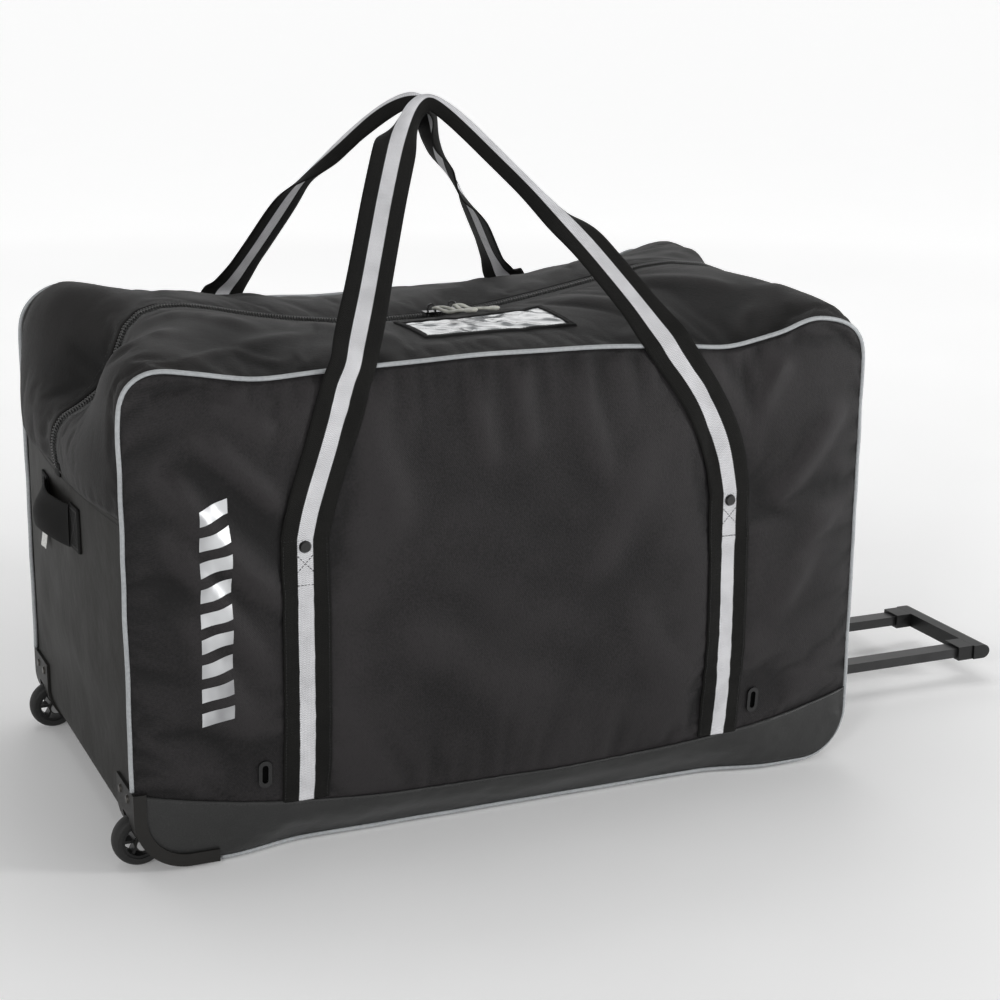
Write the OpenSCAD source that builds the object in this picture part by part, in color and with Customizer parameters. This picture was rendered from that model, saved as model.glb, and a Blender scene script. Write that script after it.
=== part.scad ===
// Wheeled hockey equipment bag: padded fabric body with two big side panels, a full-length top zipper,
// two webbing carry loops, grab handles on both ends, two wheels in moulded corner guards at the left end
// and a telescoping tow handle that comes out of the right end.
// Origin: on the floor, under the middle of the bag. +X runs to the tow-handle end, -Y to the front, +Z up.

/* [Bag body] */
// length of the bag body between its two end panels
body_length = 838; // [700:1:1000]
// depth between the front and the back piping
body_depth = 476; // [380:1:560]
// height of the top seam above the floor, at mid-length
seam_height = 503; // [420:1:620]
// how far the stuffed side panels swell out at their middle
side_bulge = 24; // [4:1:45]
// how far the end panels swell out
end_bulge = 13; // [2:1:25]
// thickness of the padded fabric wall
wall = 3; // [2:0.5:5]
// radius of the bottom corners
bottom_r = 55; // [45:1:70]
// radius of the top corners
top_r = 45; // [30:1:60]
// rise of the top seam at the corners above its middle
corner_rise = 16; // [0:1:30]

/* [Zipper] */
// height of the zipper at mid-length
zip_height = 512; // [430:1:630]
// rise of the zipper line per unit of length towards the left end
slope_left = 0.075; // [0:0.005:0.2]
// rise of the zipper line per unit of length towards the right end
slope_right = 0.16; // [0:0.005:0.2]
// half length of the part of the top that opens
flap_half = 226; // [150:1:300]
// rest place of the left slider
slider_left_x = -2; // [-40:1:6]
// rest place of the right slider
slider_right_x = 24; // [22:1:60]

/* [Carry loops] */
// distance of each webbing leg from the middle
leg_x = 243; // [180:1:300]
// width of the webbing
web_w = 50; // [38:1:60]
// thickness of the webbing
web_t = 3; // [2:0.5:5]
// height of the rivets that hold the legs
rivet_z = 337; // [280:1:400]
// height of the top of the standing loops
loop_top = 766; // [700:1:840]

/* [Wheels and guards] */
// wheel diameter
wheel_d = 56; // [50:1:64]
// wheel width
wheel_w = 22; // [18:1:26]
// distance of each wheel from the middle of the end
wheel_y = 209.5; // [190:0.5:212]
// axle diameter
axle_d = 8; // [6:0.5:10]
// height of the skid runners that carry the base
skid_h = 8; // [6:1:14]

/* [Tow handle] */
// distance of each rod from the middle
rod_y = 70; // [45:1:80]
// height of the rods above the floor
rod_z = 40.5; // [38:0.5:44]
// width of a rod
rod_w = 22; // [18:1:26]
// thickness of a rod
rod_t = 12; // [8:1:13]
// distance from the end of the bag to the middle of the grip, handle pulled out
grip_reach = 312; // [308:1:340]
// length of the grip bar
grip_len = 176; // [174:1:220]

/* [Hidden] */
half_l = body_length / 2;
half_d = body_depth / 2;
base_z = skid_h;
mid_z = (base_z + seam_height) / 2;
half_h = (seam_height - base_z) / 2;
hw = wall / 2;
gus = half_d - 2.5;
arc_x = half_l - bottom_r;
arc_z = base_z + bottom_r;
seam_z = 372;
piping_r = 2.2;
piping_off = 2.4;
lane = 18;
crown = 5;
axle_x = half_l - 9;
axle_z = wheel_d / 2;
guard_t = 2.8;
guard_top = 90;
guard_in = 174;
cheek_gap = 2;
cheek_t = 3.5;
notch_gap = 3.4;
band_t = 1.2;
lip_w = 10;
grip_x = half_l + grip_reach;
slack = 0.2;
hinge_z = rivet_z + 12;

// ---------- small helpers ----------
function total(v) = [for (x = v) 1] * v;
function lerp(a, b, t) = a + (b - a) * t;
function unit(v) = v / norm(v);
function smooth(t) = let (c = min(1, max(0, t))) c * c * (3 - 2 * c);
function tri_volume(p, f) = p[f[0]] * cross(p[f[1]], p[f[2]]);
function turned(f) = [f[0], f[2], f[1]];
function cell(a, b, c, d) = [[a, b, c], [a, c, d]];

// a closed mesh whose faces are turned outwards whichever way they were listed
module closed_mesh(p, f) {
    v = total([for (t = f) tri_volume(p, t)]);
    polyhedron(points = p, faces = v > 0 ? [for (t = f) turned(t)] : f, convexity = 6);
}

// a curved plate between an outer and an inner grid of points
module plate(outer, inner) {
    n = len(outer);
    m = len(outer[0]);
    k = n * m;
    p = concat([for (r = outer) each r], [for (r = inner) each r]);
    top = [for (i = [0:n - 2]) for (j = [0:m - 2])
        each cell(i * m + j, i * m + j + 1, (i + 1) * m + j + 1, (i + 1) * m + j)];
    bottom = [for (t = top) turned([t[0] + k, t[1] + k, t[2] + k])];
    sides_n = [for (j = [0:m - 2]) each concat(cell(j, k + j, k + j + 1, j + 1),
        cell((n - 1) * m + j, (n - 1) * m + j + 1, k + (n - 1) * m + j + 1, k + (n - 1) * m + j))];
    sides_m = [for (i = [0:n - 2]) each concat(cell(i * m, (i + 1) * m, k + (i + 1) * m, k + i * m),
        cell(i * m + m - 1, k + i * m + m - 1, k + (i + 1) * m + m - 1, (i + 1) * m + m - 1))];
    closed_mesh(p, concat(top, bottom, sides_n, sides_m));
}

// a strip swept through rings of points, capped at both ends
module sweep(rings) {
    n = len(rings);
    m = len(rings[0]);
    p = [for (r = rings) each r];
    wallf = [for (i = [0:n - 2]) for (j = [0:m - 1])
        each cell(i * m + j, i * m + (j + 1) % m, (i + 1) * m + (j + 1) % m, (i + 1) * m + j)];
    cap_a = [for (j = [1:m - 2]) [0, j + 1, j]];
    cap_b = [for (j = [1:m - 2]) [(n - 1) * m, (n - 1) * m + j, (n - 1) * m + j + 1]];
    closed_mesh(p, concat(wallf, cap_a, cap_b));
}

module block(a, b) {
    translate(a) cube(b - a);
}

// the same thing on the front and, mirrored, on the back
module both_sides() {
    children();
    mirror([0, 1, 0]) children();
}

module at_back() {
    mirror([0, 1, 0]) children();
}

module at_right() {
    mirror([1, 0, 0]) children();
}

// ---------- shape of the bag ----------
function seam_top(x) = seam_height + corner_rise * pow(abs(x) / (half_l - 39), 4);
function rounded(r, past) = sqrt(max(0, r * r - pow(max(0, past), 2)));
function side_low(x) = base_z + bottom_r - rounded(bottom_r, abs(x) - arc_x);
function side_high(x) = seam_top(x) - top_r + rounded(top_r, abs(x) - half_l + top_r);
function swell_x(x) = 1 - pow(min(1, abs(x) / half_l), 4);
function swell_z(z) = 1 - pow(min(1, abs(z - mid_z) / half_h), 3);
function swell(x, z) = pow(max(0, swell_x(x) * swell_z(z)), 0.8);
function face_y(x, z) = half_d + side_bulge * swell(x, z);
function zip_z(x) = zip_height + (x < 0 ? slope_left : slope_right) * (sqrt(x * x + 225) - 15);
function top_z(x, y) = let (t = (gus - abs(y)) / gus) lerp(seam_top(x), zip_z(x), t) + crown * sin(180 * t);
function columns(n) = [for (i = [0:n]) half_l * sin(-90 + 180 * i / n)];
function band_top(x) = 51 + 38 * pow(abs(x) / half_l, 2.5);

// a plate laid on the front panel between two curves of height, from depth d0 to d1 outside its middle
module front_skin(xs, lows, highs, rows, d0, d1) {
    grid_o = [for (i = [0:len(xs) - 1]) [for (j = [0:rows])
        let (z = lerp(lows[i], highs[i], j / rows)) [xs[i], -(face_y(xs[i], z) + d1), z]]];
    grid_i = [for (i = [0:len(xs) - 1]) [for (j = [0:rows])
        let (z = lerp(lows[i], highs[i], j / rows)) [xs[i], -(face_y(xs[i], z) + d0), z]]];
    plate(grid_o, grid_i);
}

module side_panel() {
    xs = columns(26);
    front_skin(xs, [for (x = xs) side_low(x)], [for (x = xs) side_high(x)], 12, -hw, hw);
}

module side_band() {
    xs = columns(26);
    inner = hw + slack;
    front_skin(xs, [for (x = xs) side_low(x)], [for (x = xs) band_top(x)], 3, inner, inner + band_t);
}

// puts its children on the front panel's outer face, their -Y pointing out of it
module on_face(x, z) {
    fx = (face_y(x + 1, z) - face_y(x - 1, z)) / 2;
    fz = (face_y(x, z + 1) - face_y(x, z - 1)) / 2;
    translate([x, -(face_y(x, z) + hw), z]) rotate([atan(fz), 0, -atan(fx)]) children();
}

// outline of the side panel, from the guard on the bottom round to the guard on the left end
function bottom_run() = [for (i = [0:12]) [lerp(-arc_x + 32, arc_x, i / 12), base_z]];
function right_arc() = [for (i = [1:6]) [arc_x + bottom_r * sin(15 * i), arc_z - bottom_r * cos(15 * i)]];
function right_rise() = [for (i = [1:4]) [half_l, lerp(arc_z, side_high(half_l), i / 4)]];
function top_run() = [for (i = [1:35]) let (x = half_l * cos(180 * i / 36)) [x, side_high(x)]];
function left_fall() = [for (i = [0:4]) [-half_l, lerp(side_high(half_l), guard_top + 5, i / 4)]];
function outline() = concat(bottom_run(), right_arc(), right_rise(), top_run(), left_fall());
function out_dir(p, i) = let (d = unit(p[min(len(p) - 1, i + 1)] - p[max(0, i - 1)])) [d[1], -d[0]];

module piping() {
    p = outline();
    rings = [for (i = [0:len(p) - 1]) let (o = out_dir(p, i)) [for (a = [0:60:300])
        let (c = p[i] + o * (piping_off + piping_r * cos(a))) [c[0], piping_r * sin(a) - half_d, c[1]]]];
    sweep(rings);
}

// ---------- end panels and top ----------
function end_swell(y, z) = end_bulge * (1 - pow(y / gus, 2)) * smooth((z - guard_top) / 110);
// a point of the right end panel at station s: 0 to 1 round the bottom corner, 1 to 2 up to the seam
function end_pt(s, y, d) = s < 1
    ? [arc_x + (bottom_r - d) * sin(90 * s), y, arc_z - (bottom_r - d) * cos(90 * s)]
    : let (z = lerp(arc_z, seam_z, s - 1)) [half_l + end_swell(y, z) - d, y, z];
end_stations = [0, 0.2, 0.4, 0.6, 0.8, 1, 1.15, 1.3, 1.45, 1.6, 1.8, 2];
end_rows = [-1, -0.75, -0.5, -0.25, 0, 0.25, 0.5, 0.75, 1];

module end_panel() {
    plate([for (s = end_stations) [for (r = end_rows) end_pt(s, r * gus, 0)]],
        [for (s = end_stations) [for (r = end_rows) end_pt(s, r * gus, wall)]]);
}

// the shoulder's edge at the piping and its edge at the zipper, from the flap down to the end seam
shoulder_steps = 9;
function shoulder_rim(i) = i < 5 ? let (x = lerp(flap_half + 0.6, half_l - 17, i / 5)) [x, side_high(x)]
    : [half_l, lerp(side_high(half_l), seam_z + 2, (i - 5) / 4)];
// the zipper's line over the shoulders, in length and height, from the flap to the end seam
mid_left = [[flap_half + 0.6, zip_z(-flap_half)], [264, 537], [300, 541], [330, 539], [351, 522],
    [370, 494], [390, 460], [410, 430], [425, 402], [half_l + end_bulge, seam_z + 2]];
mid_right = [[flap_half + 0.6, zip_z(flap_half)], [262, 554], [300, 557], [343, 553], [375, 541],
    [396, 517], [410, 484], [420, 446], [428, 408], [half_l + end_bulge, seam_z + 2]];
shoulder_hub = [flap_half - 40, seam_z - 60];
function shoulder_pt(mids, i, y, d) = let (
    m = lerp(shoulder_rim(i), mids[i], smooth((gus - abs(y)) / gus)),
    o = unit(m - shoulder_hub)
) [m[0] - o[0] * d, y, m[1] - o[1] * d];

// front shoulder of the top, in the right-hand version, turned into the others by mirroring
module shoulder(mids) {
    ys = [for (k = [0:5]) lerp(-gus, -lane, k / 5)];
    plate([for (i = [0:shoulder_steps]) [for (y = ys) shoulder_pt(mids, i, y, 0)]],
        [for (i = [0:shoulder_steps]) [for (y = ys) shoulder_pt(mids, i, y, wall)]]);
}

module zip_end(mids) {
    ys = [-lane + 0.5, -5, 0, 5, lane - 0.5];
    outer = [for (y = ys) abs(y) > 6 ? 0.6 : -1.2];
    plate([for (i = [0:shoulder_steps]) [for (k = [0:4]) shoulder_pt(mids, i, 0, outer[k]) + [0, ys[k], 0]]],
        [for (i = [0:shoulder_steps]) [for (y = ys) shoulder_pt(mids, i, 0, wall - 0.6) + [0, y, 0]]]);
}

module flap() {
    xs = [for (i = [0:12]) lerp(-flap_half, flap_half, i / 12)];
    ys = [for (k = [0:8]) lerp(-gus + 4, -lane, k / 8)];
    plate([for (x = xs) [for (y = ys) [x, y, top_z(x, y)]]],
        [for (x = xs) [for (y = ys) [x, y, top_z(x, y) - wall]]]);
}

// one half of the zipper: woven tape and the raised coil at its edge
module zip_half() {
    xs = [for (i = [0:16]) lerp(-flap_half, flap_half, i / 16)];
    ys = [-lane + 0.3, -6, -5, -1.2];
    plate([for (x = xs) [for (y = ys) [x, y, zip_z(x) + (y > -5.5 ? 1.8 : -0.2)]]],
        [for (x = xs) [for (y = ys) [x, y, zip_z(x) - (y > -5.5 ? 1.6 : 1.4)]]]);
}

module slider(x) {
    tilt = x < 10 ? 0 : -atan(slope_right);
    translate([x, 0, zip_z(x)]) rotate([0, tilt, 0]) {
        block([-10, -6.5, 3.2], [10, 6.5, 4.8]);
        block([-10, -6.5, -4.6], [10, 6.5, -3.1]);
        block([-3, -0.7, -3.2], [3, 0.7, 3.3]);
        translate([0, 0, 7.6]) rotate([90, 0, 0]) rotate_extrude($fn = 32)
            translate([5, 0]) circle(r = 1.1, $fn = 16);
    }
}

// soft puller: a folded rubber loop that starts at the ring and lies across the front flap
pull_along = [0.46, -0.89];
pull_across = [0.89, 0.46];
pull_len = 62;
function pull_z(x, y) = lerp(zip_z(x) + 7.4, top_z(x, y) + 2.4, smooth((-y - 8) / 14));
function pull_ring(x, t) = let (
    r = lerp(4, pull_len, t),
    w = 3.2 + 1.4 * smooth(t * 3),
    c = [x, 0] + pull_along * r
) [for (k = [[-1, -1], [1, -1], [1, 1], [-1, 1]])
    [c[0] + pull_across[0] * w * k[0], c[1] + pull_across[1] * w * k[0], pull_z(c[0], c[1]) + 1.3 * k[1]]];

module puller(x) {
    sweep([for (i = [0:8]) pull_ring(x, i / 8)]);
}

// ---------- carry loop ----------
loop_steps = 44;
leg_gap = 2.2;
arch_z = seam_height + 15;
function loop_z(a) = hinge_z + 3 + (loop_top - hinge_z - 3) * sin(a);
function loop_x(a) = -leg_x * sign(cos(a)) * pow(abs(cos(a)), 2.2);
function loop_y(x, z) = max(face_y(x, z) + hw + leg_gap + web_t / 2, half_d + 9);
function loop_in(z) = pow(max(0, (z - arch_z) / (loop_top - arch_z)), 1.1);
function loop_p(a) = let (x = loop_x(a), z = loop_z(a)) [x, -lerp(loop_y(x, z), 18, loop_in(z)), z];
function loop_lean(a) = 45 * smooth((loop_z(a) - seam_height) / 60);
function loop_twist(a) = 90 * smooth((loop_z(a) - seam_height - 90) / 130) * (a < 90 ? 1 : -1);
function loop_w(a) = lerp(web_w, 30, smooth((loop_z(a) - seam_height - 110) / 110));
function loop_t(a) = lerp(web_t, 6, smooth((loop_z(a) - seam_height - 110) / 110));
function loop_ring(a) = let (
    p = loop_p(a),
    t = unit(loop_p(min(180, a + 1)) - loop_p(max(0, a - 1))),
    l = loop_lean(a),
    side = unit(cross(t, [0, -cos(l), sin(l)])),
    up = unit(cross(side, t)),
    w = side * cos(loop_twist(a)) + up * sin(loop_twist(a)),
    v = unit(cross(t, w)),
    hwid = loop_w(a) / 2,
    ht = loop_t(a) / 2
) [p - w * hwid - v * ht, p + w * hwid - v * ht, p + w * hwid + v * ht, p - w * hwid + v * ht];

module carry_loop() {
    sweep([for (i = [0:loop_steps / 2 - 1]) loop_ring(180 * i / loop_steps)]);
    mirror([1, 0, 0]) sweep([for (i = [0:loop_steps / 2 - 1]) loop_ring(180 * i / loop_steps)]);
    apex = loop_ring(180 * (loop_steps / 2 - 1) / loop_steps);
    sweep([apex, [for (p = apex) [-p[0], p[1], p[2]]]]);
}

module strap_legs() {
    for (s = [-1, 1]) {
        xs = [for (i = [0:3]) s * leg_x + lerp(-web_w / 2, web_w / 2, i / 3)];
        lows = [for (x = xs) band_top(leg_x + web_w / 2) + 1];
        front_skin(xs, lows, [for (x = xs) hinge_z - 3.5], 10, hw + slack, hw + slack + web_t);
    }
}

// ---------- wheels and guards ----------
// side view of the room inside the corner, in X and Z, right-hand version
module corner_inside() {
    fit = 0.4 + guard_t / 2;
    translate([arc_x, arc_z]) circle(r = bottom_r + fit, $fn = 96);
    translate([arc_x - 60, base_z - fit]) square([60, 150]);
    translate([arc_x, arc_z]) square([bottom_r + fit, 100]);
}

// pulls a side view, drawn in X and Z, out along Y from a to b, on the left end
module across(a, b) {
    mirror([1, 0, 0]) translate([0, b, 0]) rotate([90, 0, 0]) linear_extrude(height = b - a) children();
}

module guard_line(r0, r1) {
    intersection() {
        difference() {
            translate([arc_x, arc_z]) circle(r = bottom_r + r1, $fn = 96);
            translate([arc_x, arc_z]) circle(r = bottom_r + r0, $fn = 96);
        }
        translate([arc_x, arc_z - 100]) square([100, 100]);
    }
    translate([arc_x - 30, base_z - r1]) square([30, r1 - r0]);
    translate([half_l + r0, arc_z]) square([r1 - r0, guard_top - arc_z]);
}

module wheel_room(r) {
    translate([axle_x, axle_z]) circle(r = r, $fn = 64);
}

module cheek(a) {
    across(a, a + cheek_t) {
        intersection() {
            wheel_room(wheel_d / 2 + 8);
            corner_inside();
        }
        wheel_room(axle_d / 2 + 4);
    }
}

// the moulded corner: bent plate with a slot for the wheel, lip on the front, and the wheel's housing inside
module guard() {
    slot = wheel_w / 2 + cheek_gap;
    out = slot + cheek_t;
    y_lip = face_y(arc_x - 30, base_z + lip_w) + hw + slack + band_t + 0.4;
    difference() {
        union() {
            difference() {
                across(-(y_lip + 2.5), -guard_in) guard_line(0.4, 0.4 + guard_t);
                across(-wheel_y - slot, -wheel_y + slot) wheel_room(wheel_d / 2 + 4);
            }
            across(-(y_lip + 2.5), -y_lip) guard_line(-lip_w, 0.4 + guard_t);
            cheek(-wheel_y - out);
            cheek(-wheel_y + slot);
            across(-wheel_y - out, -wheel_y + out) difference() {
                intersection() {
                    wheel_room(wheel_d / 2 + 8);
                    corner_inside();
                }
                wheel_room(wheel_d / 2 + 4);
            }
        }
        across(-wheel_y - out - 5, -wheel_y + out + 5) wheel_room(axle_d / 2 + 0.05);
        across(-wheel_y - out - 4, -wheel_y - out) wheel_room(axle_d / 2 + 2.5);
        across(-wheel_y + out, -wheel_y + out + 4) wheel_room(axle_d / 2 + 2.5);
    }
}

module at_wheel() {
    translate([-axle_x, -wheel_y, axle_z]) rotate([90, 0, 0]) children();
}

module tyre() {
    tread = wheel_d / 2;
    seat = 19.05;
    at_wheel() rotate_extrude($fn = 96) intersection() {
        union() {
            translate([seat, -wheel_w / 2 + 1]) square([tread - 5 - seat, wheel_w - 2]);
            translate([tread - 5, 0]) scale([1, (wheel_w - 2) / 10]) circle(r = 5, $fn = 48);
        }
        translate([seat, -wheel_w]) square([tread, 2 * wheel_w]);
    }
}

module hub() {
    at_wheel() difference() {
        union() {
            difference() {
                cylinder(r = 19, h = wheel_w - 4, center = true, $fn = 96);
                cylinder(r = 16, h = wheel_w, center = true, $fn = 96);
            }
            cylinder(r = 7.5, h = wheel_w, center = true, $fn = 64);
            for (k = [0:5]) rotate([0, 0, 60 * k])
                translate([11.5, 0, 0]) cube([10, 3, wheel_w - 8], center = true);
        }
        cylinder(r = axle_d / 2 + 0.06, h = wheel_w + 2, center = true, $fn = 64);
    }
}

module axle() {
    half = wheel_w / 2 + cheek_gap + cheek_t;
    at_wheel() {
        cylinder(r = axle_d / 2, h = 2 * half + 1, center = true, $fn = 64);
        for (s = [-1, 1]) translate([0, 0, s * (half + 1.4)])
            cylinder(r = axle_d / 2 + 2, h = 2.4, center = true, $fn = 48);
    }
}

module guard_rivet(y) {
    translate([-(half_l + 0.4 + guard_t), y, guard_top - 12])
        rotate([0, -90, 0]) cylinder(r1 = 5, r2 = 4, h = 1.8, $fn = 32);
}

// ---------- base and tow handle ----------
module wheel_notch() {
    notch = wheel_w / 2 + cheek_gap + cheek_t + notch_gap;
    reach = wheel_d / 2 + 10;
    both_sides()
        block([-half_l - 30, -wheel_y - notch, -1], [-axle_x + reach, -wheel_y + notch, axle_z + reach]);
}

skid_ys = [-205, 0, 205];
screw_xs = [-150, 150];

module skid(y) {
    translate([0, y, 0]) rotate([90, 0, 0]) linear_extrude(height = 22, center = true)
        polygon([[-213, 0], [213, 0], [224, skid_h], [-224, skid_h]]);
}

module rod_box(x0, x1, grow) {
    w = rod_w / 2 + grow;
    t = rod_t / 2 + grow;
    for (s = [-1, 1]) block([x0, s * rod_y - w, rod_z - t], [x1, s * rod_y + w, rod_z + t]);
}

// ---------- nodes ----------
module front_panel() {
    color("#2a272a") side_panel();
}

module back_panel() {
    color("#2a272a") at_back() side_panel();
}

module front_band() {
    color("#343434") side_band();
}

module back_band() {
    color("#343434") at_back() side_band();
}

module end_panel_left() {
    color("#3e3c37") difference() {
        at_right() end_panel();
        wheel_notch();
    }
}

module end_panel_right() {
    color("#3e3c37") difference() {
        end_panel();
        block([half_l - 45, -rod_y - 27, rod_z - 16], [half_l + 30, rod_y + 27, rod_z + 16]);
    }
}

module shoulder_front_left() {
    color("#2a272a") at_right() shoulder(mid_left);
}

module shoulder_front_right() {
    color("#2a272a") shoulder(mid_right);
}

module shoulder_back_left() {
    color("#2a272a") at_right() at_back() shoulder(mid_left);
}

module shoulder_back_right() {
    color("#2a272a") at_back() shoulder(mid_right);
}

module base_panel() {
    color("#343434") difference() {
        block([-arc_x + 0.1, -gus, base_z], [arc_x - 0.1, gus, base_z + wall]);
        wheel_notch();
    }
}

module floor_rails() {
    color("#505050") both_sides() block([-330, -215, base_z + wall], [360, -190, rod_z + 10.2]);
}

module floor_board() {
    color("#454340") block([-362, -226, rod_z + 10.4], [394, 226, rod_z + 13.4]);
}

module piping_front() {
    color("#bec3c6") piping();
}

module piping_back() {
    color("#bec3c6") at_back() piping();
}

module flap_front() {
    color("#2a272a") flap();
}

module flap_back() {
    color("#2a272a") at_back() flap();
}

module zip_front() {
    color("#171717") zip_half();
}

module zip_back() {
    color("#171717") at_back() zip_half();
}

module zip_end_left() {
    color("#171717") at_right() zip_end(mid_left);
}

module zip_end_right() {
    color("#171717") zip_end(mid_right);
}

id_x0 = -78;
id_x1 = 98;
id_y0 = -172;
id_y1 = -78;
id_gap = 1.1;

// a plate on the front flap's top, from height d0 to d1 above it
module on_flap(x0, x1, y0, y1, d0, d1) {
    xs = [for (i = [0:4]) lerp(x0, x1, i / 4)];
    ys = [for (i = [0:3]) lerp(y0, y1, i / 3)];
    plate([for (x = xs) [for (y = ys) [x, y, top_z(x, y) + d1]]],
        [for (x = xs) [for (y = ys) [x, y, top_z(x, y) + d0]]]);
}

module id_window() {
    color("#d8dee0") on_flap(id_x0 + 7.2, id_x1 - 7.2, id_y0 + 7.2, id_y1 - 7.2, id_gap, id_gap + 0.8);
}

module id_binding() {
    color("#141414") {
        on_flap(id_x0, id_x0 + 7, id_y0, id_y1, id_gap, id_gap + 1.4);
        on_flap(id_x1 - 7, id_x1, id_y0, id_y1, id_gap, id_gap + 1.4);
        on_flap(id_x0 + 7, id_x1 - 7, id_y0, id_y0 + 7, id_gap, id_gap + 1.4);
        on_flap(id_x0 + 7, id_x1 - 7, id_y1 - 7, id_y1, id_gap, id_gap + 1.4);
    }
}

module strap_legs_front() {
    color("#1c1c1e") strap_legs();
}

module strap_legs_back() {
    color("#1c1c1e") at_back() strap_legs();
}

module strap_rivets() {
    color("#101010") both_sides() for (s = [-1, 1]) on_face(s * leg_x, rivet_z)
        translate([0, -slack - web_t - 0.1, 0]) rotate([90, 0, 0])
            cylinder(r1 = 6.5, r2 = 5, h = 2.6, $fn = 32);
}

module eyelet() {
    rotate([90, 0, 0]) linear_extrude(height = 2) difference() {
        hull() {
            translate([0, 8]) circle(r = 7, $fn = 32);
            translate([0, -8]) circle(r = 7, $fn = 32);
        }
        hull() {
            translate([0, 7]) circle(r = 3.2, $fn = 32);
            translate([0, -7]) circle(r = 3.2, $fn = 32);
        }
    }
}

module eyelets() {
    color("#101010") both_sides() for (s = [-1, 1]) on_face(s * 287, 97) translate([0, -slack, 0]) eyelet();
}

module guard_front() {
    color("#393632") guard();
}

module guard_back() {
    color("#393632") at_back() guard();
}

module guard_rivets() {
    color("#4a4742") both_sides() {
        guard_rivet(-221);
        guard_rivet(-191);
    }
}

module wheel_axles() {
    color("#8a8a8a") both_sides() axle();
}

module hub_front() {
    color("#1d1d1d") hub();
}

module hub_back() {
    color("#1d1d1d") at_back() hub();
}

module tyre_front() {
    color("#2b2b2b") tyre();
}

module tyre_back() {
    color("#2b2b2b") at_back() tyre();
}

module skid_runners() {
    color("#2d2d2d") for (y = skid_ys) difference() {
        skid(y);
        for (x = screw_xs) translate([x, y, -1]) cylinder(r = 5, h = 3.2, $fn = 32);
    }
}

module skid_screws() {
    color("#777777") for (y = skid_ys) for (x = screw_xs)
        translate([x, y, 0.6]) cylinder(r = 4.4, h = 1.5, $fn = 32);
}

module tow_tubes() {
    color("#8f9194") difference() {
        rod_box(-318, half_l - 22, 2.6);
        rod_box(-317, half_l, 0.4);
    }
}

module tow_anchor() {
    color("#222222") difference() {
        block([-348, -88, base_z + wall], [-300, 88, rod_z + 10]);
        rod_box(-318.2, -290, 2.8);
    }
}

module tow_bezel() {
    color("#1f1f1f") difference() {
        block([half_l - 21.8, -rod_y - 25, rod_z - 14], [half_l + 10, rod_y + 25, rod_z + 14]);
        rod_box(half_l - 30, half_l + 20, 0.4);
    }
}

module tow_rods() {
    color("#3c3c3e") difference() {
        rod_box(half_l - 74, grip_x - 12.6, 0);
        rod_box(half_l - 75, grip_x - 16, -1.5);
    }
}

module tow_sockets() {
    color("#262628") for (s = [-1, 1]) difference() {
        block([grip_x - 34, s * rod_y - 15.5, rod_z - 9], [grip_x - 12.2, s * rod_y + 15.5, rod_z + 9]);
        rod_box(grip_x - 40, grip_x, 0.02);
    }
}

module tow_grip() {
    color("#2f2f31") translate([grip_x, 0, rod_z]) rotate([90, 0, 0])
        linear_extrude(height = grip_len, center = true) {
            translate([-12, -9]) square([14, 18]);
            translate([2, 0]) scale([10 / 9, 1]) circle(r = 9, $fn = 48);
        }
}

module slider_left() {
    color("#303030") slider(slider_left_x);
}

module slider_right() {
    color("#303030") slider(slider_right_x);
}

module pull_left() {
    color("#c9c9c4") puller(slider_left_x);
}

module pull_right() {
    color("#c9c9c4") puller(slider_right_x);
}

module carry_loop_front() {
    color("#1c1c1e") carry_loop();
}

module carry_loop_back() {
    color("#1c1c1e") at_back() carry_loop();
}

patch_in = 58;
patch_out = 92;
patch_z = 326;

// a plate on the right end panel
module on_end(y0, y1, z0, z1, d0, d1) {
    ys = [for (i = [0:3]) lerp(y0, y1, i / 3)];
    zs = [for (i = [0:3]) lerp(z0, z1, i / 3)];
    plate([for (z = zs) [for (y = ys) [half_l + end_swell(y, z) + d1, y, z]]],
        [for (z = zs) [for (y = ys) [half_l + end_swell(y, z) + d0, y, z]]]);
}

module end_patches() {
    color("#161616") for (m = [0, 1]) mirror([m, 0, 0]) both_sides()
        on_end(-patch_out, -patch_in, patch_z - 25, patch_z + 25, slack, slack + web_t);
}

// free part of an end handle, bowed away from the end panel
module end_loop() {
    z0 = patch_z - 24;
    z1 = patch_z + 24;
    sweep([for (i = [0:16]) let (
        a = -90 + 180 * i / 16,
        y = (patch_in - 0.5) * sin(a),
        x = half_l + end_swell(y, patch_z) + slack + 0.4 + 30 * pow(cos(a), 1.2)
    ) [[x, y, z0], [x + web_t, y, z0], [x + web_t, y, z1], [x, y, z1]]]);
}

module end_loop_left() {
    color("#161616") at_right() end_loop();
}

module end_loop_right() {
    color("#161616") end_loop();
}

module end_tag() {
    x = -(half_l + end_bulge);
    color("#d8d8d4") block([x + 0.2, 70, patch_z - 62], [x + 1, 92, patch_z - 26]);
}

front_panel();
back_panel();
front_band();
back_band();
end_panel_left();
end_panel_right();
shoulder_front_left();
shoulder_front_right();
shoulder_back_left();
shoulder_back_right();
base_panel();
floor_board();
floor_rails();
piping_front();
piping_back();
flap_front();
flap_back();
zip_front();
zip_back();
zip_end_left();
zip_end_right();
id_window();
id_binding();
strap_legs_front();
strap_legs_back();
strap_rivets();
eyelets();
guard_front();
guard_back();
guard_rivets();
wheel_axles();
hub_front();
hub_back();
tyre_front();
tyre_back();
skid_runners();
skid_screws();
tow_tubes();
tow_anchor();
tow_bezel();
tow_rods();
tow_grip();
tow_sockets();
slider_left();
slider_right();
pull_left();
pull_right();
carry_loop_front();
carry_loop_back();
end_patches();
end_loop_left();
end_loop_right();
end_tag();
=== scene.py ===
import math

import bpy
import numpy as np
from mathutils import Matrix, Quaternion, Vector


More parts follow.
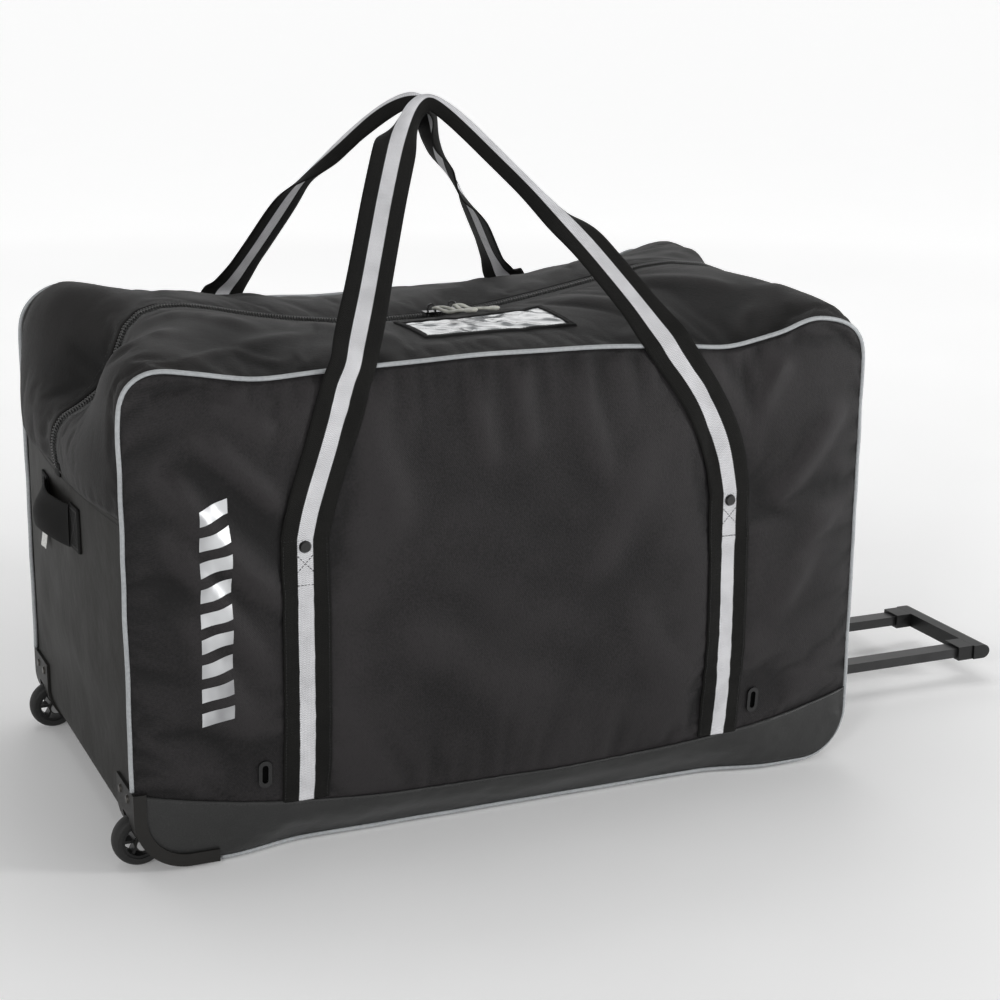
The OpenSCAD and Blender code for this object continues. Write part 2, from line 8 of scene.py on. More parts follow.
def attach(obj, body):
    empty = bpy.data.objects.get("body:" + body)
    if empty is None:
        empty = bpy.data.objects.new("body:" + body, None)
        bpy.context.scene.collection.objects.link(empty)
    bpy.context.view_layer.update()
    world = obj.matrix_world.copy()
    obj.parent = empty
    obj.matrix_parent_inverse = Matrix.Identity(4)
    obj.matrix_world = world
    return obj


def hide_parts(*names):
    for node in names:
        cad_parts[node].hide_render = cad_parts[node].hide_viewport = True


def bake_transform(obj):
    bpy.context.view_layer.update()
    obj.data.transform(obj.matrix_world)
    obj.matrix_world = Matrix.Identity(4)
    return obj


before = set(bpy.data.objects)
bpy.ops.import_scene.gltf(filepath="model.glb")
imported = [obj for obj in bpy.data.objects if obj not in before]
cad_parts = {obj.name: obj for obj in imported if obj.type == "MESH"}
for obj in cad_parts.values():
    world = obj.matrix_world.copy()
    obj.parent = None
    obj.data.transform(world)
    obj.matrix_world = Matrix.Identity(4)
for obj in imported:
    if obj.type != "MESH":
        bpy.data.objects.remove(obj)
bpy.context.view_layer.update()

# All shapes below are worked out in millimetres, with the same lines as the CAD design, and scaled once.
MM = 0.001
HALF_L, HALF_D = 419.0, 238.0  # half the bag's length and depth, between its seams
GUS = 235.5  # half the width of an end panel
SWELL = 24.0  # how far the padded sides swell in their middle
BASE_Z, FLAT_X, CORNER = 8.0, 364.0, 55.0  # underside, where it stops being flat, radius of its corners
TOP_CORNER = 45.0
END_SEAM = 374.0  # height where an end panel meets the woven top
OPEN_X, LANE = 232.0, 17.5  # half the length of the opening top, and half the width of the zipper's lane
LEG_X, LOOP_START = 243.0, 345.0  # place of the sewn strap legs, and the height where the loops leave them
EYELET_X, EYELET_Z, RIVET_Z = 287.0, 97.0, 337.0
WHEEL_Y = 209.5
FRONT, BACK = -1.0, 1.0
SIDES = ((FRONT, "front"), (BACK, "back"))
ENDS = (("left", -1), ("right", 1))


# ---------- numbers, lines and grids ----------
def smooth(t):
    c = np.clip(t, 0, 1)
    return c * c * (3 - 2 * c)


def lerp(a, b, t):
    return a + (b - a) * t


def bump(x, at, width, height):
    return height * np.exp(-(((x - at) / width) ** 2))


def rounded(r, past):
    return np.sqrt(np.maximum(0, r * r - np.maximum(0, past) ** 2))


def unit(v):
    return v / np.maximum(np.linalg.norm(v, axis=-1, keepdims=True), 1e-9)


def points(*columns):
    """a line or grid of points from its coordinates, which may be single numbers"""
    return np.stack(np.broadcast_arrays(*columns), -1)


def lattice(a, b):
    return np.meshgrid(a, b, indexing="ij")


def travelled(line):
    """distance from the start of a line to each of its points"""
    return np.concatenate([[0], np.cumsum(np.linalg.norm(np.diff(line, axis=0), axis=1))])


def read_at(q, s, rows):
    """the columns of rows, given at distances s, read at distances q"""
    return np.stack([np.interp(q, s, rows[:, k]) for k in range(rows.shape[1])], -1)


def even_out(p, times):
    """smooths values or points in a row, with the two ends held"""
    for _ in range(times):
        p[1:-1] = (p[:-2] + 2 * p[1:-1] + p[2:]) / 4
    return p


def along_line(rows, n, soften=0):
    """n points at even spacing on a line"""
    p = np.array(rows, float)
    s = travelled(p)
    line = even_out(read_at(np.linspace(0, s[-1], 400), s, p), soften)
    s = travelled(line)
    return read_at(np.linspace(0, s[-1], n), s, line)


def waves(a, b, size, seed, n=9):
    """a smooth random field of about unit height"""
    rng = np.random.default_rng(seed)
    out = 0
    for _ in range(n):
        angle = rng.uniform(0, math.tau)
        k = math.tau / (size * rng.uniform(0.7, 1.5))
        out = out + np.sin(k * (a * math.cos(angle) + b * math.sin(angle)) + rng.uniform(0, math.tau))
    return out / math.sqrt(n)


def folds(a, b, rows):
    """ridges of the cloth, each from one point to another: (a0, b0, a1, b1, width, height)"""
    out = 0
    for a0, b0, a1, b1, width, height in rows:
        da, db = a1 - a0, b1 - b0
        length = math.hypot(da, db)
        t = ((a - a0) * da + (b - b0) * db) / length**2
        off = np.abs((a - a0) * db - (b - b0) * da) / length
        along = smooth(t * 3.2 + 0.2) * smooth((1.06 - t) * 2.6)
        out = out + height * along * np.exp(-((off / width) ** 2))
    return out


# ---------- shape of the bag ----------
def seam_wave(x, side):
    """how the sewn top edge rises and dips along the bag"""
    if side == FRONT:
        rises = bump(x, -40, 150, 8) + bump(x, 90, 70, 3) + bump(x, 352, 26, 9)
        return rises - bump(x, 248, 40, 7) - bump(x, -285, 45, 5)
    return bump(x, -362, 34, 13) + bump(x, 375, 34, 15) + bump(x, 262, 40, 6) - bump(x, -60, 150, 5)


def side_low(x):
    return BASE_Z + CORNER - rounded(CORNER, np.abs(x) - FLAT_X)


def side_high(x, side):
    crown = 503 + 16 * (np.abs(x) / 380) ** 4
    return crown - TOP_CORNER + rounded(TOP_CORNER, np.abs(x) - (HALF_L - TOP_CORNER)) + seam_wave(x, side)


def swell(x, z):
    """share of the full swelling: none at the seams of a side, 1 in its middle"""
    across = 1 - np.minimum(1, np.abs(x) / HALF_L) ** 4
    up = 1 - np.minimum(1, np.abs(z - 255.5) / 247.5) ** 3
    return np.maximum(0, across * up) ** 0.8


def tuck(x, z):
    """how far the bottom edge of the sides curls in under the bag"""
    return 17 * (1 - smooth((z - BASE_Z) / 46)) ** 1.5 * (1 - smooth((np.abs(x) - 235) / 90))


def band_top(x):
    return 51 + 38 * (np.abs(x) / HALF_L) ** 2.5


SIDE_FOLDS = {
    FRONT: [
        (-402, 440, -262, 262, 17, 6.0), (-396, 384, -280, 196, 15, 4.5), (-352, 462, -262, 372, 12, 3.5),
        (-372, 300, -300, 130, 16, 3.2), (-330, 492, -268, 452, 9, 2.0), (-180, 478, -140, 330, 20, 1.7),
        (-60, 480, -38, 395, 11, 1.4), (-10, 488, 6, 410, 9, 1.2), (60, 470, 96, 360, 15, 1.3),
        (150, 420, 70, 250, 24, 1.6), (-150, 250, 40, 110, 30, 1.5), (398, 440, 292, 318, 15, 3.6),
        (388, 330, 300, 190, 17, 2.6), (318, 492, 275, 430, 11, 2.0), (120, 240, 190, 110, 20, 1.4),
    ],
    BACK: [
        (400, 430, 270, 270, 17, 5.0), (-398, 452, -280, 300, 15, 4.6), (-380, 250, -290, 120, 18, 3.0),
        (360, 240, 290, 120, 16, 3.0), (60, 480, 30, 360, 14, 1.6), (-60, 460, -120, 300, 22, 1.6),
        (130, 300, -40, 140, 28, 1.8), (-150, 440, -170, 330, 12, 1.5), (170, 470, 140, 380, 12, 1.4),
    ],
}
TOP_FOLDS = {
    FRONT: [
        (-356, 226, -286, 168, 7, 5.0), (-290, 166, -236, 222, 8, 4.0), (-286, 170, -180, 120, 14, 4.0),
        (-330, 40, -230, 110, 18, 5.0), (-180, 60, -90, 200, 20, 3.6), (120, 60, 240, 190, 18, 4.0),
        (226, 40, 330, 150, 16, 5.0), (300, 210, 370, 120, 14, 4.4), (-120, 205, 20, 190, 10, 2.4),
        (130, 210, 230, 170, 12, 3.0), (260, 226, 310, 170, 8, 3.6), (-395, 150, -320, 120, 14, 4.0),
    ],
    BACK: [
        (-350, 220, -270, 150, 13, 5.0), (-310, 60, -200, 150, 18, 4.6), (-120, 70, 30, 190, 22, 4.4),
        (40, 60, 150, 180, 20, 4.0), (170, 50, 290, 140, 18, 5.0), (280, 200, 360, 110, 14, 4.6),
        (-40, 210, 90, 160, 14, 3.2), (-220, 210, -140, 150, 12, 3.6), (330, 60, 400, 130, 14, 3.6),
    ],
}
SEEDS = {"side": {FRONT: 11, BACK: 71}, "top": {FRONT: 31, BACK: 91}, "end": {-1: 51, 1: 57}}
CALM_R = 24  # the cloth lies flat this far round the rivets and eyelets
CALM_SPOTS = [(-LEG_X, RIVET_Z), (LEG_X, RIVET_Z), (-EYELET_X, EYELET_Z), (EYELET_X, EYELET_Z)]


def skin_out(x, z, side):
    """distance of the side panel's outer face from the bag's middle plane"""
    calm = 1.0
    for sx, sz in CALM_SPOTS:
        calm = calm * smooth((np.hypot(x - sx, z - sz) - CALM_R * 0.5) / (CALM_R * 1.6))
    top, low, end = side_high(x, side) - z, z - side_low(x), HALF_L - np.abs(x)
    edge = smooth(end / 30) * smooth(low / 35) * smooth(top / 22)
    edge = edge * lerp(1.0, smooth((z - 84) / 40), smooth((-x - 300) / 25))
    seed = SEEDS["side"][side]
    soft = 1.5 * waves(x, z, 260, seed) + 0.45 * waves(x, z, 74, seed + 1)
    soft = soft + 0.12 * waves(x, z, 24, seed + 2, 14) + 2.6 * folds(x, z, SIDE_FOLDS[side])
    near = np.exp(-np.minimum(top, end) / 17)
    pucker = 0.8 * near * waves(x, z, 25, seed + 3, 6) * smooth(top / 5) * smooth(end / 5)
    return HALF_D + SWELL * swell(x, z) + 1.5 + calm * edge * soft + pucker * calm - tuck(x, z)


# ---------- lines of the top: the sewn edge and the zipper ----------
N_SHOULDER, N_MIDDLE, N_ACROSS = 62, 117, 46
ZIP_MIDDLE = np.array([
    (-232, 529.5), (-206, 524.5), (-169, 518.5), (-123, 513.0), (-59, 510.8), (-27, 511.4), (-2, 512.1),
    (24, 514.1), (50, 516.0), (76, 519.6), (105, 524.4), (144, 531.2), (191, 540.0), (232, 548.6),
], float)
ZIP_LEFT = [
    (-433, 374), (-436, 398), (-433, 416), (-424, 429), (-402, 441), (-384, 454), (-371, 472),
    (-364, 496), (-354, 520), (-338, 535), (-317, 541), (-288, 540.5), (-259, 535.5), (-232, 529.5),
]
ZIP_RIGHT = [
    (232, 548.6), (262, 554), (300, 557), (343, 552.5), (375, 541),
    (396, 517), (410, 484), (420, 446), (429, 408), (433, 374),
]


def zip_z(x):
    """height of the zipper over the opening part of the top"""
    k = np.linspace(-OPEN_X, OPEN_X, N_MIDDLE)
    return np.interp(x, k, even_out(np.interp(k, ZIP_MIDDLE[:, 0], ZIP_MIDDLE[:, 1]), 10))


def rim_over_shoulder(side, sign):
    """the sewn edge over one shoulder, from the end seam up to where the top opens"""
    z = np.linspace(END_SEAM, side_high(HALF_L, side) - 4, 20)
    x = sign * (OPEN_X + (HALF_L - OPEN_X) * np.sin(np.linspace(math.pi / 2, 0, 60)))
    line = np.concatenate([points(sign * HALF_L, z), points(x, side_high(x, side))])
    return along_line(line, N_SHOULDER, 3)


def top_lines(side):
    """the sewn edge and the zipper's line, from the left end to the right one"""
    xs = np.linspace(-OPEN_X, OPEN_X, N_MIDDLE)
    left, right = rim_over_shoulder(side, -1), rim_over_shoulder(side, 1)
    rim = np.concatenate([left[:-1], points(xs, side_high(xs, side)), right[::-1][1:]])
    left, right = along_line(ZIP_LEFT, N_SHOULDER, 12), along_line(ZIP_RIGHT, N_SHOULDER, 12)
    return rim, np.concatenate([left[:-1], points(xs, zip_z(xs)), right[1:]])


def top_lift(x, y, v, side):
    """crown and folds of the top, outwards, at share v of the way from the sewn edge to the zipper"""
    a = np.abs(y)
    seed = SEEDS["top"][side]
    ears = bump(x, -378, 46, 1) * 15 + bump(x, 384, 46, 1) * (13 if side == FRONT else 19)
    lift = 6 * np.sin(math.pi * v) + ears * np.sin(math.pi * np.clip(v, 0, 1) ** 0.6) ** 1.3
    soft = 1.7 * waves(x, a, 170, seed) + 0.5 * waves(x, a, 60, seed + 1)
    soft = soft + folds(x, a, TOP_FOLDS[side])
    if side == FRONT:  # the cloth is calm under the window
        flat = smooth((np.abs(x - 10) - 84) / 34) + smooth((np.abs(a - 125) - 44) / 26)
        soft = soft * (0.22 + 0.78 * np.clip(flat, 0, 1))
    ends = smooth(v / 0.12) * smooth((1 - v) / 0.1)
    pucker = 0.7 * np.exp(-v * 14) * waves(x, a, 24, seed + 3, 6) * smooth(v / 0.02)
    return lift + ends * soft + pucker


def lifted(xz, d):
    """points in length and height, moved outwards from the hub of the bag's rounded top"""
    hub = points(np.clip(xz[..., 0], -186, 186), 312.0)
    return xz + unit(xz - hub) * d[..., None]


def lens(x):
    """share of the top's lift: none where it is sewn shut, 1 in the middle"""
    return np.maximum(0, 1 - (np.abs(x) / OPEN_X) ** 2)


# ---------- mesh helpers ----------
def add(name, verts, faces, uv=None):
    me = bpy.data.meshes.new(name)
    me.from_pydata((np.asarray(verts, float).reshape(-1, 3) * MM).tolist(), [], faces)
    if uv is not None:
        layer = me.uv_layers.new(name="cloth")
        index = np.empty(len(me.loops), np.int32)
        me.loops.foreach_get("vertex_index", index)
        layer.data.foreach_set("uv", np.asarray(uv, float).reshape(-1, 2)[index].astype(np.float32).ravel())
    me.polygons.foreach_set("use_smooth", [True] * len(me.polygons))
    me.update()
    ob = bpy.data.objects.new(name, me)
    bpy.context.scene.collection.objects.link(ob)
    return ob


def get_points(ob, mesh=None):
    co = np.empty(len(ob.data.vertices) * 3)
    (mesh or ob.data).vertices.foreach_get("co", co)
    return co.reshape(-1, 3) / MM


def set_points(ob, pts):
    ob.data.vertices.foreach_set("co", (pts * MM).ravel())
    ob.data.update()


def cells(n, m, loop_n=False, loop_m=False, flip=False):
    faces = []
    for i in range(n if loop_n else n - 1):
        for j in range(m if loop_m else m - 1):
            a, b = i * m + j, i * m + (j + 1) % m
            c, d = ((i + 1) % n) * m + (j + 1) % m, ((i + 1) % n) * m + j
            faces.append((a, b, c, d) if flip else (a, d, c, b))
    return faces


def arc_uv(pts):
    """distance along each row and column of a grid, in mm"""
    u = np.zeros(pts.shape[:2])
    v = np.zeros(pts.shape[:2])
    u[1:] = np.cumsum(np.linalg.norm(np.diff(pts, axis=0), axis=2), axis=0)
    v[:, 1:] = np.cumsum(np.linalg.norm(np.diff(pts, axis=1), axis=2), axis=1)
    return points(u, v)


def sheet_mesh(name, pts, outward, thick=2.4, drop=None):
    """a grid of points as a sheet with a thickness inwards; drop says which cells are cut away"""
    n, m = pts.shape[:2]
    p = pts[n // 2, m // 2]
    nrm = np.cross(pts[n // 2 + 1, m // 2] - p, pts[n // 2, m // 2 + 1] - p)
    faces = cells(n, m, flip=bool(nrm @ np.array(outward, float) < 0))
    if drop is not None:
        flat = pts.reshape(-1, 3)
        faces = [f for f in faces if not drop(flat[list(f)].mean(0))]
    ob = add(name, pts, faces, arc_uv(pts))
    if thick:
        mod = ob.modifiers.new("thickness", "SOLIDIFY")
        mod.thickness = thick * MM
        mod.offset = -1
        mod.use_even_offset = False
    return ob


def tube(name, path, radius, sides=8, closed=False, up=(0, 1, 0), flat=1.0):
    p = np.asarray(path, float)
    n = len(p)
    t = unit(np.roll(p, -1, 0) - np.roll(p, 1, 0) if closed else np.gradient(p, axis=0))
    s = unit(np.cross(t, np.array(up, float)))
    w = np.cross(s, t)
    a = np.linspace(0, math.tau, sides, endpoint=False)[None]
    r = np.broadcast_to(np.asarray(radius, float), (n,))[:, None, None]
    rings = p[:, None] + r * (s[:, None] * np.cos(a)[..., None] + flat * w[:, None] * np.sin(a)[..., None])
    faces = cells(n, sides, loop_n=closed, loop_m=True)
    if not closed:
        faces += [tuple(range(sides)), tuple(reversed(range((n - 1) * sides, n * sides)))]
    return add(name, rings, faces, points(travelled(p)[:, None], a))


STRAP_COLUMNS = 15


def strap(name, centre, normal, width, thick, fold):
    """woven strap through centre points; normal is where its outer face looks; fold doubles it lengthways"""
    n, m = len(centre), STRAP_COLUMNS
    t = unit(np.gradient(centre, axis=0))
    nrm = unit(normal - t * np.sum(normal * t, 1, keepdims=True))
    side = np.cross(t, nrm)
    us = np.linspace(-1, 1, m)
    bend = smooth(np.abs(us) / 0.5)[None] * fold[:, None]
    mean = (bend[:, 1:] + bend[:, :-1]) / 2
    step = np.diff(width[:, None] / 2 * us[None], axis=1)
    lat = np.pad(np.cumsum(step * np.cos(mean), 1), ((0, 0), (1, 0)))
    down = np.pad(np.cumsum(np.abs(step) * np.sin(mean) * np.where(us[:-1] >= 0, 1, -1), 1), ((0, 0), (1, 0)))
    lat -= lat[:, m // 2, None]
    down -= down[:, m // 2, None]
    mid = centre[:, None] + side[:, None] * lat[..., None] - nrm[:, None] * down[..., None]
    face = nrm[:, None] * np.cos(bend)[..., None] + side[:, None] * (np.sin(bend) * np.sign(us))[..., None]
    edge = (thick * (1 - 0.55 * np.abs(us) ** 8))[None, :, None]
    outer, inner = mid + face * edge / 2, mid - face * edge / 2

    ring = np.concatenate([outer, inner[:, ::-1]], 1)
    across = np.linspace(-25, 25, m)
    k = 2 * m
    last = (n - 1) * k
    faces = cells(n, k, loop_m=True)
    for j in range(m - 1):
        faces.append((j + 1, j, k - 1 - j, k - 2 - j))
        faces.append((last + j, last + j + 1, last + k - 2 - j, last + k - 1 - j))
    uv = points(travelled(outer[:, m // 2])[:, None], np.concatenate([across, across[::-1]])[None])
    return add(name, ring, faces, uv)


STITCH = np.array([
    (-1, -1, 0), (1, -1, 0), (1, 1, 0), (-1, 1, 0),
    (-0.6, -0.5, 1), (0.6, -0.5, 1), (0.6, 0.5, 1), (-0.6, 0.5, 1),
], float)
STITCH_SIDES = [(0, 1, 5, 4), (1, 2, 6, 5), (2, 3, 7, 6), (3, 0, 4, 7), (4, 5, 6, 7)]


def stitches(name, paths, outward, length=2.6, pitch=4.2, r=0.38):
    """rows of sewn thread laid on a surface"""
    verts, faces = [], []
    up = np.array(outward, float)
    a, b, h = (STITCH[:, k, None] for k in range(3))
    for p in paths:
        s = travelled(p)
        q = np.arange(pitch / 2, s[-1], pitch)
        t = unit(read_at(np.minimum(q + 1, s[-1]), s, p) - read_at(np.maximum(q - 1, 0), s, p))
        w = unit(np.cross(up, t))
        for at, t_, w_ in zip(read_at(q, s, p), t, w):
            base = len(verts) * len(STITCH)
            verts.append(at + t_ * a * length / 2 + w_ * b * r + up * h * r * 1.2)
            faces += [tuple(base + i for i in f) for f in STITCH_SIDES]
    return add(name, verts, faces)


def settle(ob, pin, grow=0.012, cap=7.0, pressure=4.0, frames=20):
    """lets a sewn sheet puff and wrinkle between its seams, then keeps the settled shape"""
    rest = get_points(ob)
    group = ob.vertex_groups.new(name="seams")
    held = np.round(pin.ravel(), 2)
    for level in np.unique(held):
        if level > 0:
            group.add(np.flatnonzero(held == level).tolist(), float(level), "REPLACE")
    stack = [(m.name, m.show_viewport) for m in ob.modifiers]
    for m in ob.modifiers:
        m.show_viewport = False
    cloth = ob.modifiers.new("cloth", "CLOTH")
    st = cloth.settings
    st.quality = 6
    st.mass = 0.25
    st.tension_stiffness = st.compression_stiffness = 18
    st.shear_stiffness = 8
    st.bending_stiffness = 0.6
    st.tension_damping = st.compression_damping = 12
    st.air_damping = 6
    st.vertex_group_mass = "seams"
    st.pin_stiffness = 1
    st.shrink_min = -grow
    st.use_pressure = True
    st.uniform_pressure_force = pressure
    st.effector_weights.gravity = 0
    cloth.collision_settings.use_collision = False
    scene = bpy.context.scene
    scene.frame_start, scene.frame_end = 1, frames
    cloth.point_cache.frame_start, cloth.point_cache.frame_end = 1, frames
    for f in range(1, frames + 1):
        scene.frame_set(f)
    settled = ob.evaluated_get(bpy.context.evaluated_depsgraph_get())
    move = get_points(ob, settled.data) - rest
    ob.modifiers.remove(cloth)
    scene.frame_set(1)
    for name, shown in stack:
        ob.modifiers[name].show_viewport = shown
    far = np.linalg.norm(move, axis=1, keepdims=True)
    set_points(ob, rest + move * cap * np.tanh(far / cap) / np.maximum(far, 1e-6))
    ob.vertex_groups.clear()


def painted_fold_light(ob, height):
    """marks the crests of the folds with painted highlight and their hollows with painted shade, as a point
    attribute that lightens and darkens the cloth's colour
    """
    mean = height.copy()
    for _ in range(60):
        even_out(mean, 1)
        even_out(mean.T, 1)
    light_and_shade = np.clip((height - mean) / 2.2, -1, 1).astype(np.float32)
    ob.data.attributes.new("painted_fold_light", "FLOAT", "POINT").data.foreach_set("value", light_and_shade.ravel())


# ---------- materials ----------
LOOK = {}


class Look:
    """a node material made of small steps"""

    def __init__(self, name, rough=0.8, metal=0.0, spec=0.5, **sockets):
        self.name = name
        self.mat = bpy.data.materials.new(name)
        self.mat.use_nodes = True
        self.tree = self.mat.node_tree
        self.shader = next(n for n in self.tree.nodes if n.type == "BSDF_PRINCIPLED")
        values = {"Roughness": rough, "Metallic": metal, "Specular IOR Level": spec}
        values.update({k.replace("_", " "): v for k, v in sockets.items()})
        for k, v in values.items():
            self.shader.inputs[k].default_value = v

    def node(self, kind, out=0, props=(), **inputs):
        """a new node's output; inputs are given by name, or as i0, i1 by number"""
        n = self.tree.nodes.new(kind)
        for k, v in dict(props).items():
            setattr(n, k, v)
        for k, v in inputs.items():
            s = n.inputs[int(k[1:])] if k[0] == "i" and k[1:].isdigit() else n.inputs[k.replace("_", " ")]
            if isinstance(v, bpy.types.NodeSocket):
                self.tree.links.new(v, s)
            else:
                s.default_value = v
        return n.outputs[out]

    def math(self, op, a, b=0.0, c=0.0):
        return self.node("ShaderNodeMath", props={"operation": op}, i0=a, i1=b, i2=c)

    def mul(self, a, b):
        return self.math("MULTIPLY", a, b)

    def mad(self, a, b, c):
        return self.math("MULTIPLY_ADD", a, b, c)

    def ripple(self, along, pitch):
        """even ridges along a socket, 0 to 1, with the given pitch"""
        return self.mad(self.math("SINE", self.mul(along, math.tau / pitch)), 0.5, 0.5)

    def place(self):
        return self.node("ShaderNodeTexCoord", out=3)

    def cloth(self, axis):
        """distance in mm along (0) or across (1) the cloth"""
        uv = self.node("ShaderNodeUVMap", props={"uv_map": "cloth"})
        return self.node("ShaderNodeSeparateXYZ", out=axis, Vector=uv)

    def noise(self, vector, scale, detail=3.0, rough=0.55, squash=None):
        if squash:
            vector = self.node("ShaderNodeMapping", Vector=vector, Scale=squash)
        return self.node("ShaderNodeTexNoise", Vector=vector, Scale=scale, Detail=detail, Roughness=rough)

    def ramp(self, fac, *stops):
        """stops are (position, colour or grey)"""
        n = self.tree.nodes.new("ShaderNodeValToRGB")
        self.tree.links.new(fac, n.inputs[0])
        r = n.color_ramp
        while len(r.elements) < len(stops):
            r.elements.new(0.5)
        for e, (pos, col) in zip(r.elements, stops):
            e.position = pos
            e.color = (*(col if hasattr(col, "__len__") else (col,) * 3), 1)
        return n.outputs[0]

    def mix(self, fac, a, b):
        n = self.tree.nodes.new("ShaderNodeMix")
        n.data_type = "RGBA"
        for s, v in ((n.inputs[0], fac), (n.inputs[6], a), (n.inputs[7], b)):
            self.tree.links.new(v, s)
        return n.outputs[2]

    def colour(self, socket):
        self.tree.links.new(socket, self.shader.inputs["Base Color"])

    def roughness(self, socket):
        self.tree.links.new(socket, self.shader.inputs["Roughness"])

    def bump(self, *layers):
        """layers are (height socket, depth in metres); the finished look is then kept by its name"""
        last = None
        for height, depth in layers:
            n = self.tree.nodes.new("ShaderNodeBump")
            n.inputs["Strength"].default_value = 1.0
            n.inputs["Distance"].default_value = depth
            self.tree.links.new(height, n.inputs["Height"])
            if last is not None:
                self.tree.links.new(last, n.inputs["Normal"])
            last = n.outputs[0]
        self.tree.links.new(last, self.shader.inputs["Normal"])
        LOOK[self.name] = self.mat


def woven(k, pitch):
    """over and under of a plain weave, 0 to 1, with the given thread spacing in mm"""
    a, b = (k.math("SINE", k.mul(k.cloth(axis), math.pi / pitch)) for axis in (0, 1))
    return k.mad(k.mul(a, b), 0.5, 0.5)


def fabric(name, dark, light, pitch=1.1, sheen=0.25, rough=0.86, depth=0.00010):
    k = Look(name, rough=rough, spec=0.22, Sheen_Weight=sheen, Sheen_Roughness=0.45)
    weave = woven(k, pitch)
    at = k.place()
    cloudy = k.noise(at, 7.0, 3.0)
    fleck = k.noise(at, 430.0, 3.0, 0.7)
    # painted highlight on the crests of the folds and painted shade in their hollows, read from the fold
    # attribute
    fold_light = k.node("ShaderNodeAttribute", out=2, props={"attribute_name": "painted_fold_light"})
    tone = k.mad(cloudy, 0.25, k.mad(fleck, 0.85, k.mul(weave, 0.2)))
    k.colour(k.ramp(k.mad(fold_light, 0.2, tone), (0.42, dark), (0.9, light)))
    k.roughness(k.mad(fleck, 0.3, rough - 0.15))
    k.bump((k.noise(at, 30.0, 2.0), 0.0006), (fleck, 0.0005), (weave, depth))


def vinyl(name, dark, light, rough, scale, depth, coat=0.1, spec=0.45):
    k = Look(name, rough=rough, spec=spec, Coat_Weight=coat, Coat_Roughness=0.35)
    at = k.place()
    cell = k.node("ShaderNodeTexVoronoi", Vector=at, Scale=scale)
    broad = k.noise(at, 14.0, 4.0)
    k.colour(k.ramp(k.mad(broad, 0.7, k.mul(cell, 0.4)), (0.25, dark), (0.85, light)))
    k.roughness(k.mad(broad, 0.22, rough - 0.1))
    k.bump((k.noise(at, 30.0, 3.0), 0.0012), (cell, depth))


def plastic(name, dark, light, rough, scale, depth, metal=0.0, spec=0.4, coat=0.0):
    """moulded, enamelled or plated stuff: a fine grain with broad soft changes of tone"""
    k = Look(name, rough=rough, metal=metal, spec=spec, Coat_Weight=coat, Coat_Roughness=0.25)
    at = k.place()
    grain = k.noise(at, scale, 2.0)
    broad = k.noise(at, 22.0, 4.0)
    k.colour(k.ramp(k.mad(broad, 0.6, k.mul(grain, 0.4)), (0.3, dark), (0.75, light)))
    k.roughness(k.mad(broad, 0.2, rough - 0.08))
    k.bump((grain, depth))


def brushed(name, dark, light, rough):
    k = Look(name, rough=rough, metal=1.0)
    at = k.place()
    lines = k.noise(at, 900.0, 2.0, squash=(0.02, 1, 1))
    broad = k.noise(at, 16.0, 3.0)
    k.colour(k.ramp(k.mad(lines, 0.5, k.mul(broad, 0.5)), (0.3, dark), (0.72, light)))
    k.roughness(k.mad(lines, 0.2, rough - 0.1))
    k.bump((lines, 0.00003))


def webbing(name, dark, light, stripe=None):
    """chevron-woven strap; stripe is the dark and light tone of a stripe 16 mm wide down its middle"""
    k = Look(name, rough=0.74, spec=0.18)
    across = k.cloth(1)
    chevron = k.math("ABSOLUTE", k.math("SINE", k.mul(across, math.tau / 9.0)))
    weft = k.ripple(k.mad(chevron, 1.3, k.cloth(0)), 1.9)
    yarn = k.mad(weft, 0.65, k.mul(k.ripple(across, 1.5), 0.35))
    wear = k.noise(k.place(), 34.0, 4.0)
    tone = k.mad(yarn, 0.6, k.mul(wear, 0.5))
    col = k.ramp(tone, (0.2, dark), (0.85, light))
    if stripe:
        wobble = k.mad(weft, 0.5, -0.25)
        off = k.math("SUBTRACT", 8.1, k.math("ABSOLUTE", k.math("ADD", across, wobble)))
        inside = k.mad(off, 2.0, 0.5)
        inside.node.use_clamp = True
        col = k.mix(inside, col, k.ramp(tone, (0.15, stripe[0]), (0.8, stripe[1])))
    k.colour(col)
    k.bump((wear, 0.0009), (yarn, 0.00035))


def zip_tape(name):
    k = Look(name, rough=0.8, spec=0.3, Sheen_Weight=0.2)
    herring = k.math("ADD", k.cloth(0), k.math("ABSOLUTE", k.math("SUBTRACT", k.cloth(1), 8.0)))
    ribs = k.ripple(herring, 1.6)
    tone = k.mad(ribs, 0.5, k.mul(k.noise(k.place(), 60.0), 0.5))
    k.colour(k.ramp(tone, (0.2, 0.004), (0.9, 0.018)))
    k.bump((ribs, 0.0002))


